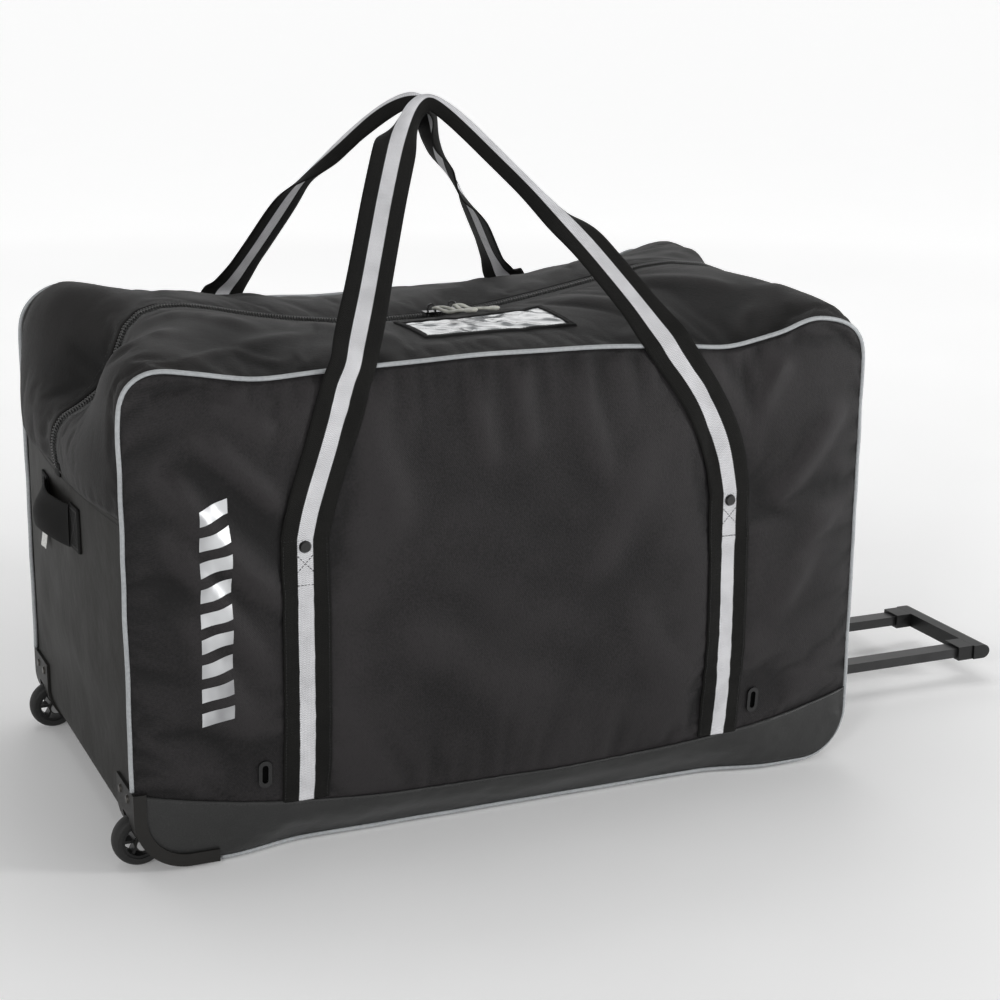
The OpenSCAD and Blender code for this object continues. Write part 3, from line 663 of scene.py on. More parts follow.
def painted_film(name):
    """clear window film with a painted colour: pale patches of painted reflection, and broken dark lines of
    painted shade along its creases
    """
    k = Look(name, rough=0.2, spec=0.5, Coat_Weight=0.4, Coat_Roughness=0.1)
    at = k.place()
    push = k.node("ShaderNodeTexNoise", out=1, Vector=at, Scale=16.0)
    bend = k.node("ShaderNodeVectorMath", props={"operation": "SCALE"}, i0=push, Scale=0.07)
    warp = k.node("ShaderNodeVectorMath", props={"operation": "ADD"}, i0=at, i1=bend)
    crease = k.node("ShaderNodeTexVoronoi", props={"feature": "DISTANCE_TO_EDGE"}, Vector=warp, Scale=15.0)
    broad = k.noise(warp, 24.0, 2.0)
    gaps = k.ramp(k.noise(at, 38.0, 1.0), (0.42, 0.0), (0.56, 1.0))
    broken = k.mad(gaps, 0.25, crease)
    line = k.ramp(broken, (0.015, 0.0), (0.06, 1.0))
    # pale patches are painted reflection, and the broken dark lines are painted shade along the creases
    tone = k.mul(k.ramp(broad, (0.3, 0.62), (0.5, 0.95), (0.75, 0.8)), line)
    dark, middle, light = (0.014, 0.014, 0.015), (0.13, 0.135, 0.14), (0.30, 0.315, 0.325)
    k.colour(k.ramp(tone, (0.0, dark), (0.35, middle), (1.0, light)))
    k.bump((broad, 0.0014), (broken, 0.0008))


def puller_rubber(name):
    k = Look(name, rough=0.42, spec=0.5, Subsurface_Weight=0.15, Subsurface_Radius=(0.004, 0.003, 0.002))
    at = k.place()
    soil = k.noise(at, 120.0, 4.0)
    k.colour(k.ramp(soil, (0.3, (0.40, 0.40, 0.36)), (0.7, (0.64, 0.64, 0.58))))
    k.roughness(k.mad(soil, 0.2, 0.34))
    k.bump((k.noise(at, 700.0, 2.0), 0.00006))


def silver_print(name):
    k = Look(name, rough=0.36, metal=0.55, spec=0.5)
    shade = k.noise(k.place(), 26.0, 2.0, squash=(1.0, 1.0, 0.5))
    k.colour(k.ramp(shade, (0.32, (0.26, 0.26, 0.27)), (0.66, (0.62, 0.63, 0.64))))
    k.roughness(k.mad(shade, 0.2, 0.28))
    k.bump((woven(k, 1.1), 0.00006))


def thread(name, grey):
    k = Look(name, rough=0.6, spec=0.35)
    twist = k.noise(k.place(), 1500.0, 1.0)
    k.colour(k.ramp(twist, (0.3, grey * 0.6), (0.7, grey * 1.3)))
    k.bump((twist, 0.0001))


fabric("side fabric", (0.0028, 0.0025, 0.0027), (0.0222, 0.0200, 0.0209), 1.15, 0.05, rough=0.56)
fabric("top fabric", (0.0022, 0.0020, 0.0019), (0.0128, 0.0118, 0.0115), 1.0, 0.04, rough=0.70)
fabric("lining", (0.010, 0.010, 0.011), (0.03, 0.03, 0.031), 1.6, 0.1)
fabric("woven tag", (0.5, 0.5, 0.48), (0.82, 0.82, 0.79), 0.7, 0.1, depth=0.00006)
vinyl("bottom vinyl", (0.008, 0.0082, 0.008), (0.021, 0.0215, 0.021), 0.46, 620.0, 0.00010)
vinyl("coated cloth", (0.0080, 0.0075, 0.0063), (0.0140, 0.0132, 0.0112), 0.6, 900.0, 0.00006, 0.0, 0.2)
vinyl("piping vinyl", (0.27, 0.285, 0.295), (0.40, 0.415, 0.425), 0.42, 300.0, 0.00004, 0.2)
webbing("striped webbing", (0.0010, 0.0010, 0.0009), (0.0085, 0.0082, 0.0072),
        stripe=((0.28, 0.28, 0.29), (0.76, 0.76, 0.78)))
webbing("black webbing", 0.0010, (0.0088, 0.0086, 0.0080))
webbing("window binding", 0.004, 0.016)
zip_tape("zipper tape")
plastic("zipper coil", 0.016, (0.06, 0.06, 0.058), 0.3, 900.0, 0.00002, spec=0.6)
painted_film("film with painted reflections")
silver_print("silver print")
puller_rubber("pale rubber")
thread("black thread", 0.008)
thread("dark thread", 0.035)
plastic("black enamel", 0.004, 0.016, 0.3, 300.0, 0.00003, metal=0.4, spec=0.6, coat=0.3)
# painted shadow for the eyelets' holes
plastic("painted hole shadow", 0.0006, 0.0020, 0.85, 300.0, 0.00003, spec=0.05)
plastic("gunmetal", 0.02, 0.12, 0.26, 200.0, 0.00003, metal=0.9, spec=0.6)
plastic("rivet metal", (0.03, 0.028, 0.025), (0.085, 0.08, 0.072), 0.36, 400.0, 0.00003, metal=0.8)
plastic("moulded guard", (0.006, 0.0056, 0.0050), (0.0155, 0.0145, 0.0128), 0.5, 1100.0, 0.00010, spec=0.3)
plastic("black plastic", 0.004, 0.013, 0.38, 800.0, 0.00006, spec=0.35)
plastic("tyre rubber", 0.008, (0.026, 0.026, 0.025), 0.62, 500.0, 0.00012)
brushed("steel", 0.3, 0.6, 0.34)
brushed("tube metal", (0.22, 0.22, 0.23), (0.42, 0.42, 0.44), 0.36)
plastic("anodised rod", 0.012, (0.042, 0.042, 0.043), 0.36, 1400.0, 0.00002, metal=0.35, spec=0.6)
plastic("floor board", (0.03, 0.028, 0.025), (0.075, 0.07, 0.062), 0.7, 260.0, 0.0002)
plastic("stiffener", 0.04, 0.1, 0.9, 700.0, 0.0006)


def dress(ob, look, body=None, inside=None):
    ob.data.materials.clear()
    ob.data.materials.append(LOOK[look])
    if inside:
        ob.data.materials.append(LOOK[inside])
        for m in ob.modifiers:
            if m.type == "SOLIDIFY":
                m.material_offset = 1
    if body:
        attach(ob, body)


# ---------- padded side panels, vinyl bottom bands and their straps ----------
class Panel:
    """one padded side panel as a grid in length and height, which other pieces then lie on"""

    def __init__(self, side, word):
        self.side, self.word = side, word
        self.xs = HALF_L * np.sin(np.linspace(-math.pi / 2, math.pi / 2, 153))
        self.vs = np.linspace(0, 1, 92) - 0.035 * np.sin(np.linspace(0, math.tau, 92))
        x = self.xs[:, None]
        z = lerp(side_low(x), side_high(x, side), self.vs[None])
        self.pts = points(x, side * skin_out(x, z, side), z)
        self.build()

    def build(self):
        ob = sheet_mesh("skin_" + self.word, self.pts, (0, self.side, 0))
        x, z = self.pts[..., 0], self.pts[..., 2]
        pin = np.zeros(x.shape)
        pin[0] = pin[-1] = 1
        pin[:, 0] = pin[:, -1] = 1
        for sx, sz in CALM_SPOTS:
            pin = np.maximum(pin, 1 - smooth((np.hypot(x - sx, z - sz) - CALM_R) / CALM_R))
        legs = np.exp(-(((np.abs(x) - LEG_X) / 20) ** 2)) * (z < LOOP_START)
        pin = np.maximum(pin, np.where(z < band_top(x) + 4, 0.9, 0.35 * legs))
        settle(ob, pin)
        # only the cloth's motion in and out is kept, so that the grid stays one in length and height
        self.pts[..., 1] = get_points(ob).reshape(self.pts.shape)[..., 1]
        set_points(ob, self.pts)
        # painted highlight on the crests of the settled folds and painted shade in their hollows
        painted_fold_light(ob, np.abs(self.pts[..., 1]))
        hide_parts(self.word + "_panel")
        dress(ob, "side fabric", "bag", "lining")

    def out(self, x, z):
        """distance of the settled face from the middle plane"""
        x, z = np.broadcast_arrays(np.asarray(x, float), np.asarray(z, float))
        cx = np.clip(x, -HALF_L + 0.01, HALF_L - 0.01)
        i = np.clip(np.searchsorted(self.xs, cx) - 1, 0, len(self.xs) - 2)
        low, high = side_low(cx), side_high(cx, self.side)
        v = np.clip((z - low) / (high - low), 0, 1)
        j = np.clip(np.searchsorted(self.vs, v) - 1, 0, len(self.vs) - 2)
        fi = (cx - self.xs[i]) / (self.xs[i + 1] - self.xs[i])
        fj = (v - self.vs[j]) / (self.vs[j + 1] - self.vs[j])
        y = np.abs(self.pts[..., 1])
        return lerp(lerp(y[i, j], y[i + 1, j], fi), lerp(y[i, j + 1], y[i + 1, j + 1], fi), fj)

    def on(self, x, z, d):
        """points on the face, d mm above it"""
        return points(x, self.side * (self.out(x, z) + d), z)


PANELS = [Panel(side, word) for side, word in SIDES]

for panel in PANELS:
    side, xs = panel.side, panel.xs
    x = xs[:, None]
    z = lerp(side_low(x), band_top(x), np.linspace(0, 1, 15)[None])
    rise = (z - z[:, :1]) / (z[:, -1:] - z[:, :1])
    soft = 0.8 * waves(x, z * 2.2, 95, 5 + int(side)) + 0.4 * waves(x, z * 2.0, 30, 9 + int(side), 8)
    calm = smooth(rise / 0.15) * smooth((1 - rise) / 0.15) * smooth((np.abs(x + 390) - 40) / 40)
    d = 1.5 + 0.9 * np.exp(-(((rise - 0.93) / 0.08) ** 2)) + np.maximum(-0.7, soft) * calm
    y = np.maximum(panel.out(x, z), 0) + d
    under_guard = np.minimum(y, HALF_D + SWELL * swell(x, z) + 3.1)
    y = np.where(x < -325, under_guard, y)
    band = sheet_mesh("band_" + panel.word, points(x, side * y, z), (0, side, 0), thick=1.2)
    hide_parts(panel.word + "_band")
    dress(band, "bottom vinyl", "bag")
    top = panel.on(xs[4:-4], band_top(xs[4:-4]) - 3.2, 2.6)
    dress(stitches("stitch_band_" + panel.word, [top], (0, side, 0)), "dark thread", "bag")

# silver print: a plain column of slanted bars on the front, at the left end
BARS, BAR_HEIGHT, BAR_STEP = 9, 15.0, 26.5
BAR_GRID = (13, 7)
share = np.linspace(0, 1, BAR_GRID[0])[:, None]
bars, faces = [], []
for k in range(BARS):
    z = 158 + BAR_STEP * k + BAR_HEIGHT * np.linspace(0, 1, BAR_GRID[1])[None]
    bars.append(PANELS[0].on(-352 + 31 * share, z + 9 * share, 0.5).reshape(-1, 3))
    faces += [tuple(len(bars[0]) * k + i for i in f) for f in cells(*BAR_GRID)]
bars = np.concatenate(bars)
dress(add("print_front", bars, faces, bars[:, [0, 2]]), "silver print", "bag")

# dark sheets inside the eyelets' rims: painted shadow where the holes through the cloth are
a = np.linspace(0, math.tau, 33)
outline = points(3.5 * np.cos(a), 3.5 * np.sin(a) + 7 * np.sign(np.round(np.sin(a), 6)))
grown = np.linspace(0.05, 1, 4)[:, None, None] * outline[None]
for panel in PANELS:
    for end, sign in ENDS:
        face = panel.on(sign * EYELET_X + grown[..., 0], EYELET_Z + grown[..., 1], 0.25)
        hole_shadow = sheet_mesh(f"eyelet_shadow_{panel.word}_{end}", face, (0, panel.side, 0), thick=0)
        dress(hole_shadow, "painted hole shadow", "bag")

LOOPS = {
    "front": [
        (-243, 262, 345), (-236, 262, 380), (-221, 260, 425), (-204, 256, 468), (-188, 249, 508),
        (-156, 205, 569), (-128, 158, 615), (-102, 116, 661), (-70, 68, 715), (-42, 34, 751), (-19, 15, 766),
        (2, 22, 757), (26, 46, 731), (54, 80, 695), (84, 112, 658), (122, 166, 600), (150, 220, 548),
        (174, 249, 506), (203, 256, 462), (226, 260, 415), (239, 262, 375), (243, 262, 345),
    ],
    "back": [
        (-243, 262, 345), (-236, 262, 385), (-214, 258, 440), (-180, 249, 500), (-150, 190, 570),
        (-118, 118, 655), (-80, 66, 712), (-49, 34, 747), (-17, 14, 766), (10, 32, 747), (31, 68, 709),
        (50, 104, 669), (82, 126, 640), (108, 140, 610), (134, 176, 580), (168, 226, 545), (200, 250, 505),
        (226, 258, 450), (240, 262, 390), (243, 262, 345),
    ],
}
STRAP_WIDTH, STRAP_THICK = 50.0, 2.6


def strap_route(panel):
    """centre line of one strap: up from the bottom band, over as a loop, and down again"""
    side = panel.side
    rows = np.array(LOOPS[panel.word], float)
    s = travelled(rows)
    loop = even_out(read_at(np.linspace(0, s[-1], int(s[-1] / 5)), s, rows), 26)
    loop[:, 1] *= side
    leg = np.linspace(band_top(LEG_X) + 0.6, LOOP_START, 40)[:-1]
    left, right = (panel.on(sign * LEG_X, leg, 1.5) for _, sign in ENDS)
    line = np.concatenate([left, loop, right[::-1]])
    x, z = line[:, 0], line[:, 2]
    lie = panel.out(x, np.minimum(z, 500)) + 2.2 + 2.0 * smooth((z - 470) / 40)
    line[:, 1] = side * lerp(np.maximum(lie, 0), np.abs(line[:, 1]), smooth((z - 506) / 22))
    for _ in range(3):
        leaves = ((z > 490) & (z < 560))[1:-1, None]
        line[1:-1] = np.where(leaves, (line[:-2] + 2 * line[1:-1] + line[2:]) / 4, line[1:-1])
    return line


def strap_twist(z, side):
    """how far the strap is doubled lengthways, and how far it turns on edge, along its line"""
    is_right = np.arange(len(z)) > int(np.argmax(z))
    if side == FRONT:
        doubled = np.where(is_right, smooth((z - 606) / 70), smooth((z - 700) / 50))
        turn = 0 * z
    else:
        doubled = np.where(is_right, smooth((z - 672) / 60), smooth((z - 640) / 70))
        high = smooth((z - 492) / 36)
        right = 1.08 * high + 0.45 * bump(z, 640, 22, 1)
        left = 0.32 * high + 0.2 * bump(z, 660, 26, 1)
        turn = np.where(is_right, right, left) * smooth((752 - z) / 50)
    return even_out(doubled, 4), turn


def carry_strap(panel):
    side, word = panel.side, panel.word
    centre = strap_route(panel)
    z = centre[:, 2]
    doubled, turn = strap_twist(z, side)
    lean = np.radians(42) * smooth((z - 506) / 50)
    nrm = points(0.0, side * np.cos(lean), np.sin(lean))
    nrm = lerp(nrm, np.array([[0, 0.0, 1.0]]), doubled[:, None])
    t = unit(np.gradient(centre, axis=0))
    nrm = unit(nrm - t * np.sum(nrm * t, 1, keepdims=True))
    nrm = nrm * np.cos(turn)[:, None] + np.cross(t, nrm) * np.sin(turn)[:, None]
    width = STRAP_WIDTH - 2.5 * smooth((z - 520) / 80) - 5 * doubled
    ob = strap("strap_" + word, centre, nrm, width, STRAP_THICK, np.radians(82) * doubled)
    # the legs and the lower loop lie on the padded side, also across their width
    co = get_points(ob).reshape(len(centre), 2 * STRAP_COLUMNS, 3)
    lift = side * (co[..., 1] - centre[:, None, 1])
    gap = np.where(z < LOOP_START, 1.5, 2.0)[:, None]
    lying = panel.out(co[..., 0], np.minimum(co[..., 2], 500)) + gap + np.clip(lift, -1.3, 1.3)
    co[..., 1] = lerp(co[..., 1], side * lying, 1 - smooth((co[..., 2] - 478) / 34))
    set_points(ob, co)
    body = "carry_loop_" + word
    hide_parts("strap_legs_" + word, body)
    dress(ob, "striped webbing")
    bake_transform(ob)


LEG_SEAMS = [
    ((-8.2, 328), (8.2, 311)), ((8.2, 328), (-8.2, 311)), ((-9, 297), (9, 297)), ((-23, 344), (23, 344)),
]
for panel in PANELS:
    carry_strap(panel)
    paths = []
    t = np.linspace(0, 1, 12)
    for _, sign in ENDS:
        at = sign * LEG_X
        for a, b in LEG_SEAMS:
            paths.append(panel.on(at + lerp(a[0], b[0], t), lerp(a[1], b[1], t), 2.75))
        for edge in (-22.6, 22.6):
            paths.append(panel.on(at + edge, np.linspace(64, 340, 80), 2.55))
    row = stitches("stitch_strap_" + panel.word, paths, (0, panel.side, 0), 2.4, 3.6, 0.42)
    dress(row, "black thread", "bag")

# ---------- piping along the sewn edges ----------
for panel in PANELS:
    side, word = panel.side, panel.word
    arc = np.radians(np.linspace(6, 90, 14))
    xt = HALF_L * np.cos(np.linspace(0, math.pi, 150))
    line = np.concatenate([
        points(np.linspace(-332, FLAT_X, 110), BASE_Z),
        points(FLAT_X + CORNER * np.sin(arc), BASE_Z + CORNER - CORNER * np.cos(arc)),
        points(HALF_L, np.linspace(66, side_high(HALF_L, side) - 2, 60)),
        points(xt, side_high(xt, side)),
        points(-HALF_L, np.linspace(side_high(-HALF_L, side) - 2, 92, 60)),
    ])
    line = along_line(line, 460, 4)
    x, z = line.T
    d = unit(np.gradient(line, axis=0))
    ox, oz = d[:, 1], -d[:, 0]
    stand = 2.4 + 0.35 * waves(x, z, 70, 3 + int(side), 6)
    curl = tuck(x, z) * 0.94
    px, pz = x + ox * stand, z + oz * stand
    pipe = tube("cord_" + word, points(px, side * (HALF_D + 0.4 - curl), pz), 2.45, 10)
    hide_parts("piping_" + word)
    dress(pipe, "piping vinyl", "bag")
    welt = tube("welt_" + word, points(px - ox * 2.6, side * (HALF_D - 0.6 - curl), pz - oz * 2.6), 1.5, 6)
    dress(welt, "side fabric", "bag")


# ---------- the two halves of the top with the zipper between them ----------
def lift_with_top(ob, share):
    """bakes the piece's placement into its points; share is not used"""
    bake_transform(ob)


COIL_PITCH, COIL_SIDES = 3.2, 5


def coil_path(mid, side):
    """one wire wound along the zipper's line, the back one half a turn behind the front one"""
    length = travelled(mid)
    turns = int(length[-1] / COIL_PITCH)
    a = np.linspace(0, math.tau * turns, turns * 9)
    q = (a / math.tau) * COIL_PITCH + (COIL_PITCH / 2 if side == BACK else 0)
    line = read_at(q, length, mid)
    xz = lifted(line, 0.3 + 2.0 * np.sin(a))
    return points(xz[:, 0], side * (3.0 + 2.5 * np.cos(a)), xz[:, 1]), line[:, 0]


roofs = {}
for side, word in SIDES:
    rim, mid = top_lines(side)
    v = np.linspace(0, 1, N_ACROSS)
    xz = lerp(rim[:, None], mid[:, None], (smooth(v) * 0.35 + v * 0.65)[None, :, None])
    y = lerp(HALF_D - 0.8, LANE, v)[None]
    out = lifted(xz, top_lift(xz[..., 0], y, v[None], side))
    pts = points(out[..., 0], side * y, out[..., 1])
    ob = sheet_mesh("roof_" + word, pts, (0, 0, 1))
    pin = np.zeros(pts.shape[:2])
    pin[0] = pin[-1] = 1
    pin[:, :2] = pin[:, -2:] = 1
    settle(ob, pin, grow=0.01, cap=6.0)
    pts = get_points(ob).reshape(pts.shape)
    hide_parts("flap_" + word, f"shoulder_{word}_left", f"shoulder_{word}_right")
    dress(ob, "top fabric", None, "lining")
    lift_with_top(ob, lens(xz[..., 0]) * smooth(v / 0.07)[None])
    # painted highlight on the crests of the top's folds and painted shade in their hollows
    painted_fold_light(ob, np.linalg.norm(pts - np.array([0, 0, 250.0]), axis=2))
    roofs[side] = pts

    # tape under the folded edge
    ys = np.array([20.5, LANE - 0.4, 13.0, 9.0, 5.5, 3.0, 0.7])
    drop = np.array([-2.6, -2.3, -1.7, -1.3, -1.0, -0.8, -0.8])
    base = np.repeat(mid[:, None], len(ys), 1)
    tz = lifted(base, np.broadcast_to(drop, base.shape[:2]))
    tape = sheet_mesh("tape_" + word, points(tz[..., 0], side * ys, tz[..., 1]), (0, 0, 1), thick=0.9)
    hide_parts("zip_" + word)
    dress(tape, "zipper tape")
    lift_with_top(tape, lens(base[..., 0]))

    coil, coil_x = coil_path(mid, side)
    wire = tube("coil_" + word, coil, 0.8, COIL_SIDES, up=(0.3, 0.2, 0.9))
    dress(wire, "zipper coil")
    lift_with_top(wire, np.repeat(lens(coil_x), COIL_SIDES))

    # thread along the folded edge
    edge = pts[2:-2, -3] + np.array([0, 0, 0.15])
    row = stitches("stitch_zip_" + word, [edge], (0, 0, 1), 2.6, 4.4, 0.34)
    dress(row, "dark thread")
    lift_with_top(row, lens(get_points(row)[:, 0]))

for word, sign in ENDS:
    # short bar tack that closes the zipper's end over the end seam
    y, z = np.linspace(-13, 13, 9)[None], np.linspace(366, 380, 6)[:, None]
    grid = points(sign * (433.4 + 1.2 * np.cos(y / 13 * 1.4)), y, z)
    tab = sheet_mesh("zip_stop_" + word, grid, (sign, 0, 0), thick=1.4)
    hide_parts("zip_end_" + word)
    dress(tab, "black webbing", "bag")


def on_roof(x, y, d):
    """points on the front half of the top, d above it"""
    rows = roofs[FRONT][N_SHOULDER - 1:N_SHOULDER - 1 + N_MIDDLE]
    xs = rows[:, 20, 0]
    x, y = np.broadcast_arrays(np.asarray(x, float), np.asarray(y, float))
    out = np.empty(x.shape)
    for i in np.ndindex(x.shape):
        c = np.clip(np.searchsorted(xs, x[i]) - 1, 0, len(xs) - 2)
        z0, z1 = (np.interp(y[i], row[:, 1], row[:, 2]) for row in rows[c:c + 2])
        out[i] = z0 + (z1 - z0) * (x[i] - xs[c]) / (xs[c + 1] - xs[c])
    return points(x, y, out + d)


# ---------- window for a name card, with its sewn binding ----------
MIDDLE, HALF = np.array([10.0, -125.0]), np.array([88.0, 47.0])  # middle and half size of the binding
FILM_INSET = 5
low, high = MIDDLE - HALF + FILM_INSET, MIDDLE + HALF - FILM_INSET
gx, gy = lattice(np.linspace(low[0], high[0], 71), np.linspace(low[1], high[1], 39))
inner = smooth((gx - low[0]) / 9) * smooth((high[0] - gx) / 9)
inner = inner * smooth((gy - low[1]) / 9) * smooth((high[1] - gy) / 9)
crumple = 1.2 - 1.5 * np.abs(waves(gx, gy, 62, 201, 7)) + 0.5 * waves(gx, gy, 22, 202, 7)
film_face = on_roof(gx, gy, 0.7 + inner * np.clip(crumple, -0.4, 2.4))
film = sheet_mesh("window_film", film_face, (0, 0, 1), thick=0.5)
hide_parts("id_window")
dress(film, "film with painted reflections")

corners = MIDDLE + HALF * np.array([(-1, -1), (1, -1), (1, 1), (-1, 1), (-1, -1)])
share = np.linspace(0, 1, 40, endpoint=False)[:, None]
outer = np.concatenate([lerp(a, b, share) for a, b in zip(corners[:-1], corners[1:])])


def round_window(inset, d):
    """a line round the binding, inset from its outer edge and d above the cloth"""
    xy = MIDDLE + (outer - MIDDLE) * (HALF - inset) / HALF
    return on_roof(xy[:, 0], xy[:, 1], d)


# the binding's cross-section: (distance from its outer edge, height)
BINDING = [(0.0, 0.3), (0.2, 1.7), (1.2, 2.2), (3.5, 2.35), (6.0, 2.1), (7.0, 1.4), (7.2, 0.3)]
steps = np.arange(len(outer))
grid = np.stack([round_window(inset, d + 0.25 * np.sin(steps * 0.9)) for inset, d in BINDING], 1)
uv = points(steps[:, None] * 3.3, np.arange(len(BINDING))[None] * 1.6)
bind = add("window_binding", grid, cells(len(outer), len(BINDING), loop_n=True, flip=True), uv)
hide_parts("id_binding")
dress(bind, "window binding")
row = stitches("stitch_window", [round_window(inset, 2.3) for inset in (2.0, 5.2)], (0, 0, 1), 2.2, 3.4, 0.3)
dress(row, "dark thread")
for ob in (film, bind, row):
    lift_with_top(ob, lens(get_points(ob)[:, 0]))


# ---------- end panels ----------
def end_out(y, z, sign):
    """how far an end panel stands beyond the ends of the sides"""
    swelling = 13 * (1 - (np.abs(y) / GUS) ** 2) * smooth((z - 90) / 110)
    calm = smooth((z - 96) / 40) * smooth((GUS - np.abs(y)) / 26) * smooth((372 - z) / 18)
    calm = calm * (1 - 0.85 * np.exp(-(((np.abs(y) - 75) / 34) ** 2 + ((z - 326) / 44) ** 2)))
    seed = SEEDS["end"][sign]
    return swelling + calm * (1.2 * waves(y, z, 260, seed) + 0.3 * waves(y, z, 100, seed + 1))


def on_end(sign, y, z, d):
    """points on an end panel, d above it"""
    return points(sign * (HALF_L + end_out(y, z, sign) + d), y, z)


def wheel_cut(c):
    return abs(abs(c[1]) - WHEEL_Y) < 18.5 and c[2] < 64 and c[0] < -372


def tow_cut(c):
    return abs(c[1]) < 94 and 27 < c[2] < 54


for word, sign in ENDS:
    # each column of the grid runs up the rounded lower corner, then up the end
    s = np.concatenate([np.linspace(0, 1, 22)[:-1], np.linspace(1, 2, 74)])
    st, yy = lattice(s, np.linspace(-HALF_D + 0.6, HALF_D - 0.6, 111))
    ang = np.clip(st, 0, 1) * math.pi / 2
    corner_top = BASE_Z + CORNER
    z = np.where(st < 1, corner_top - CORNER * np.cos(ang), lerp(corner_top, END_SEAM, st - 1))
    upright = HALF_L + end_out(np.clip(yy, -GUS, GUS), z, sign)
    x = np.where(st < 1, FLAT_X + CORNER * np.sin(ang), upright)
    pts = points(sign * x, yy, z)
    ob = sheet_mesh("end_" + word, pts, (sign, 0, 0), drop=wheel_cut if sign < 0 else tow_cut)
    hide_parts("end_panel_" + word)
    dress(ob, "coated cloth", "bag", "lining")
    # the folded seam where the end panel meets the woven top
    y = np.linspace(-GUS, GUS, 120)
    line = on_end(sign, y, END_SEAM - 3, 0.2)
    line[:, 2] = END_SEAM - 1.4
    seam = tube("seam_" + word, line, 1.7, 8, up=(0, 0, 1))
    dress(seam, "coated cloth", "bag")
    row = stitches("stitch_end_" + word, [on_end(sign, y, END_SEAM - 7.4, 0.1)], (sign, 0, 0), 2.6, 4.2, 0.36)
    dress(row, "black thread", "bag")

# ---------- base ----------
gx, gy = lattice(np.linspace(-366, 366, 93), np.linspace(-1, 1, 61))
yy = gy * (HALF_D - 1 - 0.97 * tuck(gx, BASE_Z))
sag = 8.7 - 0.35 * np.abs(waves(gx, yy, 70, 301))
pts = points(gx, yy, np.where(np.abs(gx) > FLAT_X, 8.2, sag))


def guard_cut(c):
    return c[0] < -360 and abs(abs(c[1]) - WHEEL_Y) < 20


under = sheet_mesh("base", pts, (0, 0, -1), thick=2.0, drop=guard_cut)
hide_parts("base_panel")
dress(under, "bottom vinyl", "bag")

# ---------- grab handles on the ends ----------
PATCH_BOX = [(60, 306), (88, 306), (88, 346), (60, 346)]
PATCH_SEAMS = [(0, 1), (3, 2), (0, 3), (1, 2), (0, 2), (3, 1)]  # between the box's corners
HANDLE_Z, HANDLE_REACH, HANDLE_WIDTH = 326, 62, 47
for word, sign in ENDS:
    body = "end_loop_" + word
    for k, e in enumerate((-1, 1)):
        yy, zz = lattice(np.linspace(56, 92, 12), np.linspace(302, 350, 13))
        raised = smooth((yy - 55.5) / 2) * smooth((92.5 - yy) / 2)
        patch = on_end(sign, e * yy, zz, 1.4 + 1.6 * raised)
        ob = sheet_mesh(f"patch_{word}_{k}", patch, (sign, 0, 0), thick=2.6)
        if k == 0:
            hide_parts("end_patches")
        dress(ob, "black webbing", "bag")
    t = np.linspace(0, 1, 14)
    rows = []
    for e in (-1, 1):
        for a, b in PATCH_SEAMS:
            (y0, z0), (y1, z1) = PATCH_BOX[a], PATCH_BOX[b]
            rows.append(on_end(sign, e * lerp(y0, y1, t), lerp(z0, z1, t), 3.15))
    row = stitches("stitch_handle_" + word, rows, (sign, 0, 0), 2.4, 3.6, 0.38)
    dress(row, "dark thread", "bag")

    t = np.linspace(-1, 1, 61)
    arch = np.cos(t * math.pi / 2)
    centre = on_end(sign, HANDLE_REACH * t, HANDLE_Z, 0)
    centre[:, 0] += sign * (4.4 + 21 * arch**1.1)
    centre[:, 2] += 6 * arch**1.6
    tilt = np.radians(18) * arch * (1 + 0.35 * t)
    nrm = points(sign * np.cos(tilt), 0.0, np.sin(tilt))
    grip = strap("handle_" + word, centre, nrm, HANDLE_WIDTH - 5 * arch, 2.8, np.radians(24) * arch**1.5)
    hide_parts(body)
    dress(grip, "black webbing")
    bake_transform(grip)
    1 - smooth((np.abs(get_points(grip)[:, 1]) - 34) / 20)

yy, zz = lattice(np.linspace(-11, 11, 13), np.linspace(0, 38, 19))
hang = on_end(-1, 81 + yy * 0.96, 300 - zz * 0.97, 0)
hang[..., 0] -= 2.2 + 4.0 * (zz / 38) ** 1.4 + 0.8 * np.sin(yy / 5)
hang[..., 1] += 2.5 * (zz / 38) ** 2
tag = sheet_mesh("blank_tag", hang, (-1, 0, 0), thick=0.5)
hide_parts("end_tag")
dress(tag, "woven tag", "bag")

# ---------- soft pullers on the sliders ----------
PULL_X, PULL_Y = 0.46, -0.89  # the way the pullers lie on the top
SIDE_POINTS = 34


def roof_or_zip(x, y, at):
    z = on_roof(np.clip(x, -220, 220), np.minimum(y, -LANE - 0.5), 0)[..., 2]
    return lerp(zip_z(at) + 8.4, z + 3.4, smooth((-y - 7) / 15))


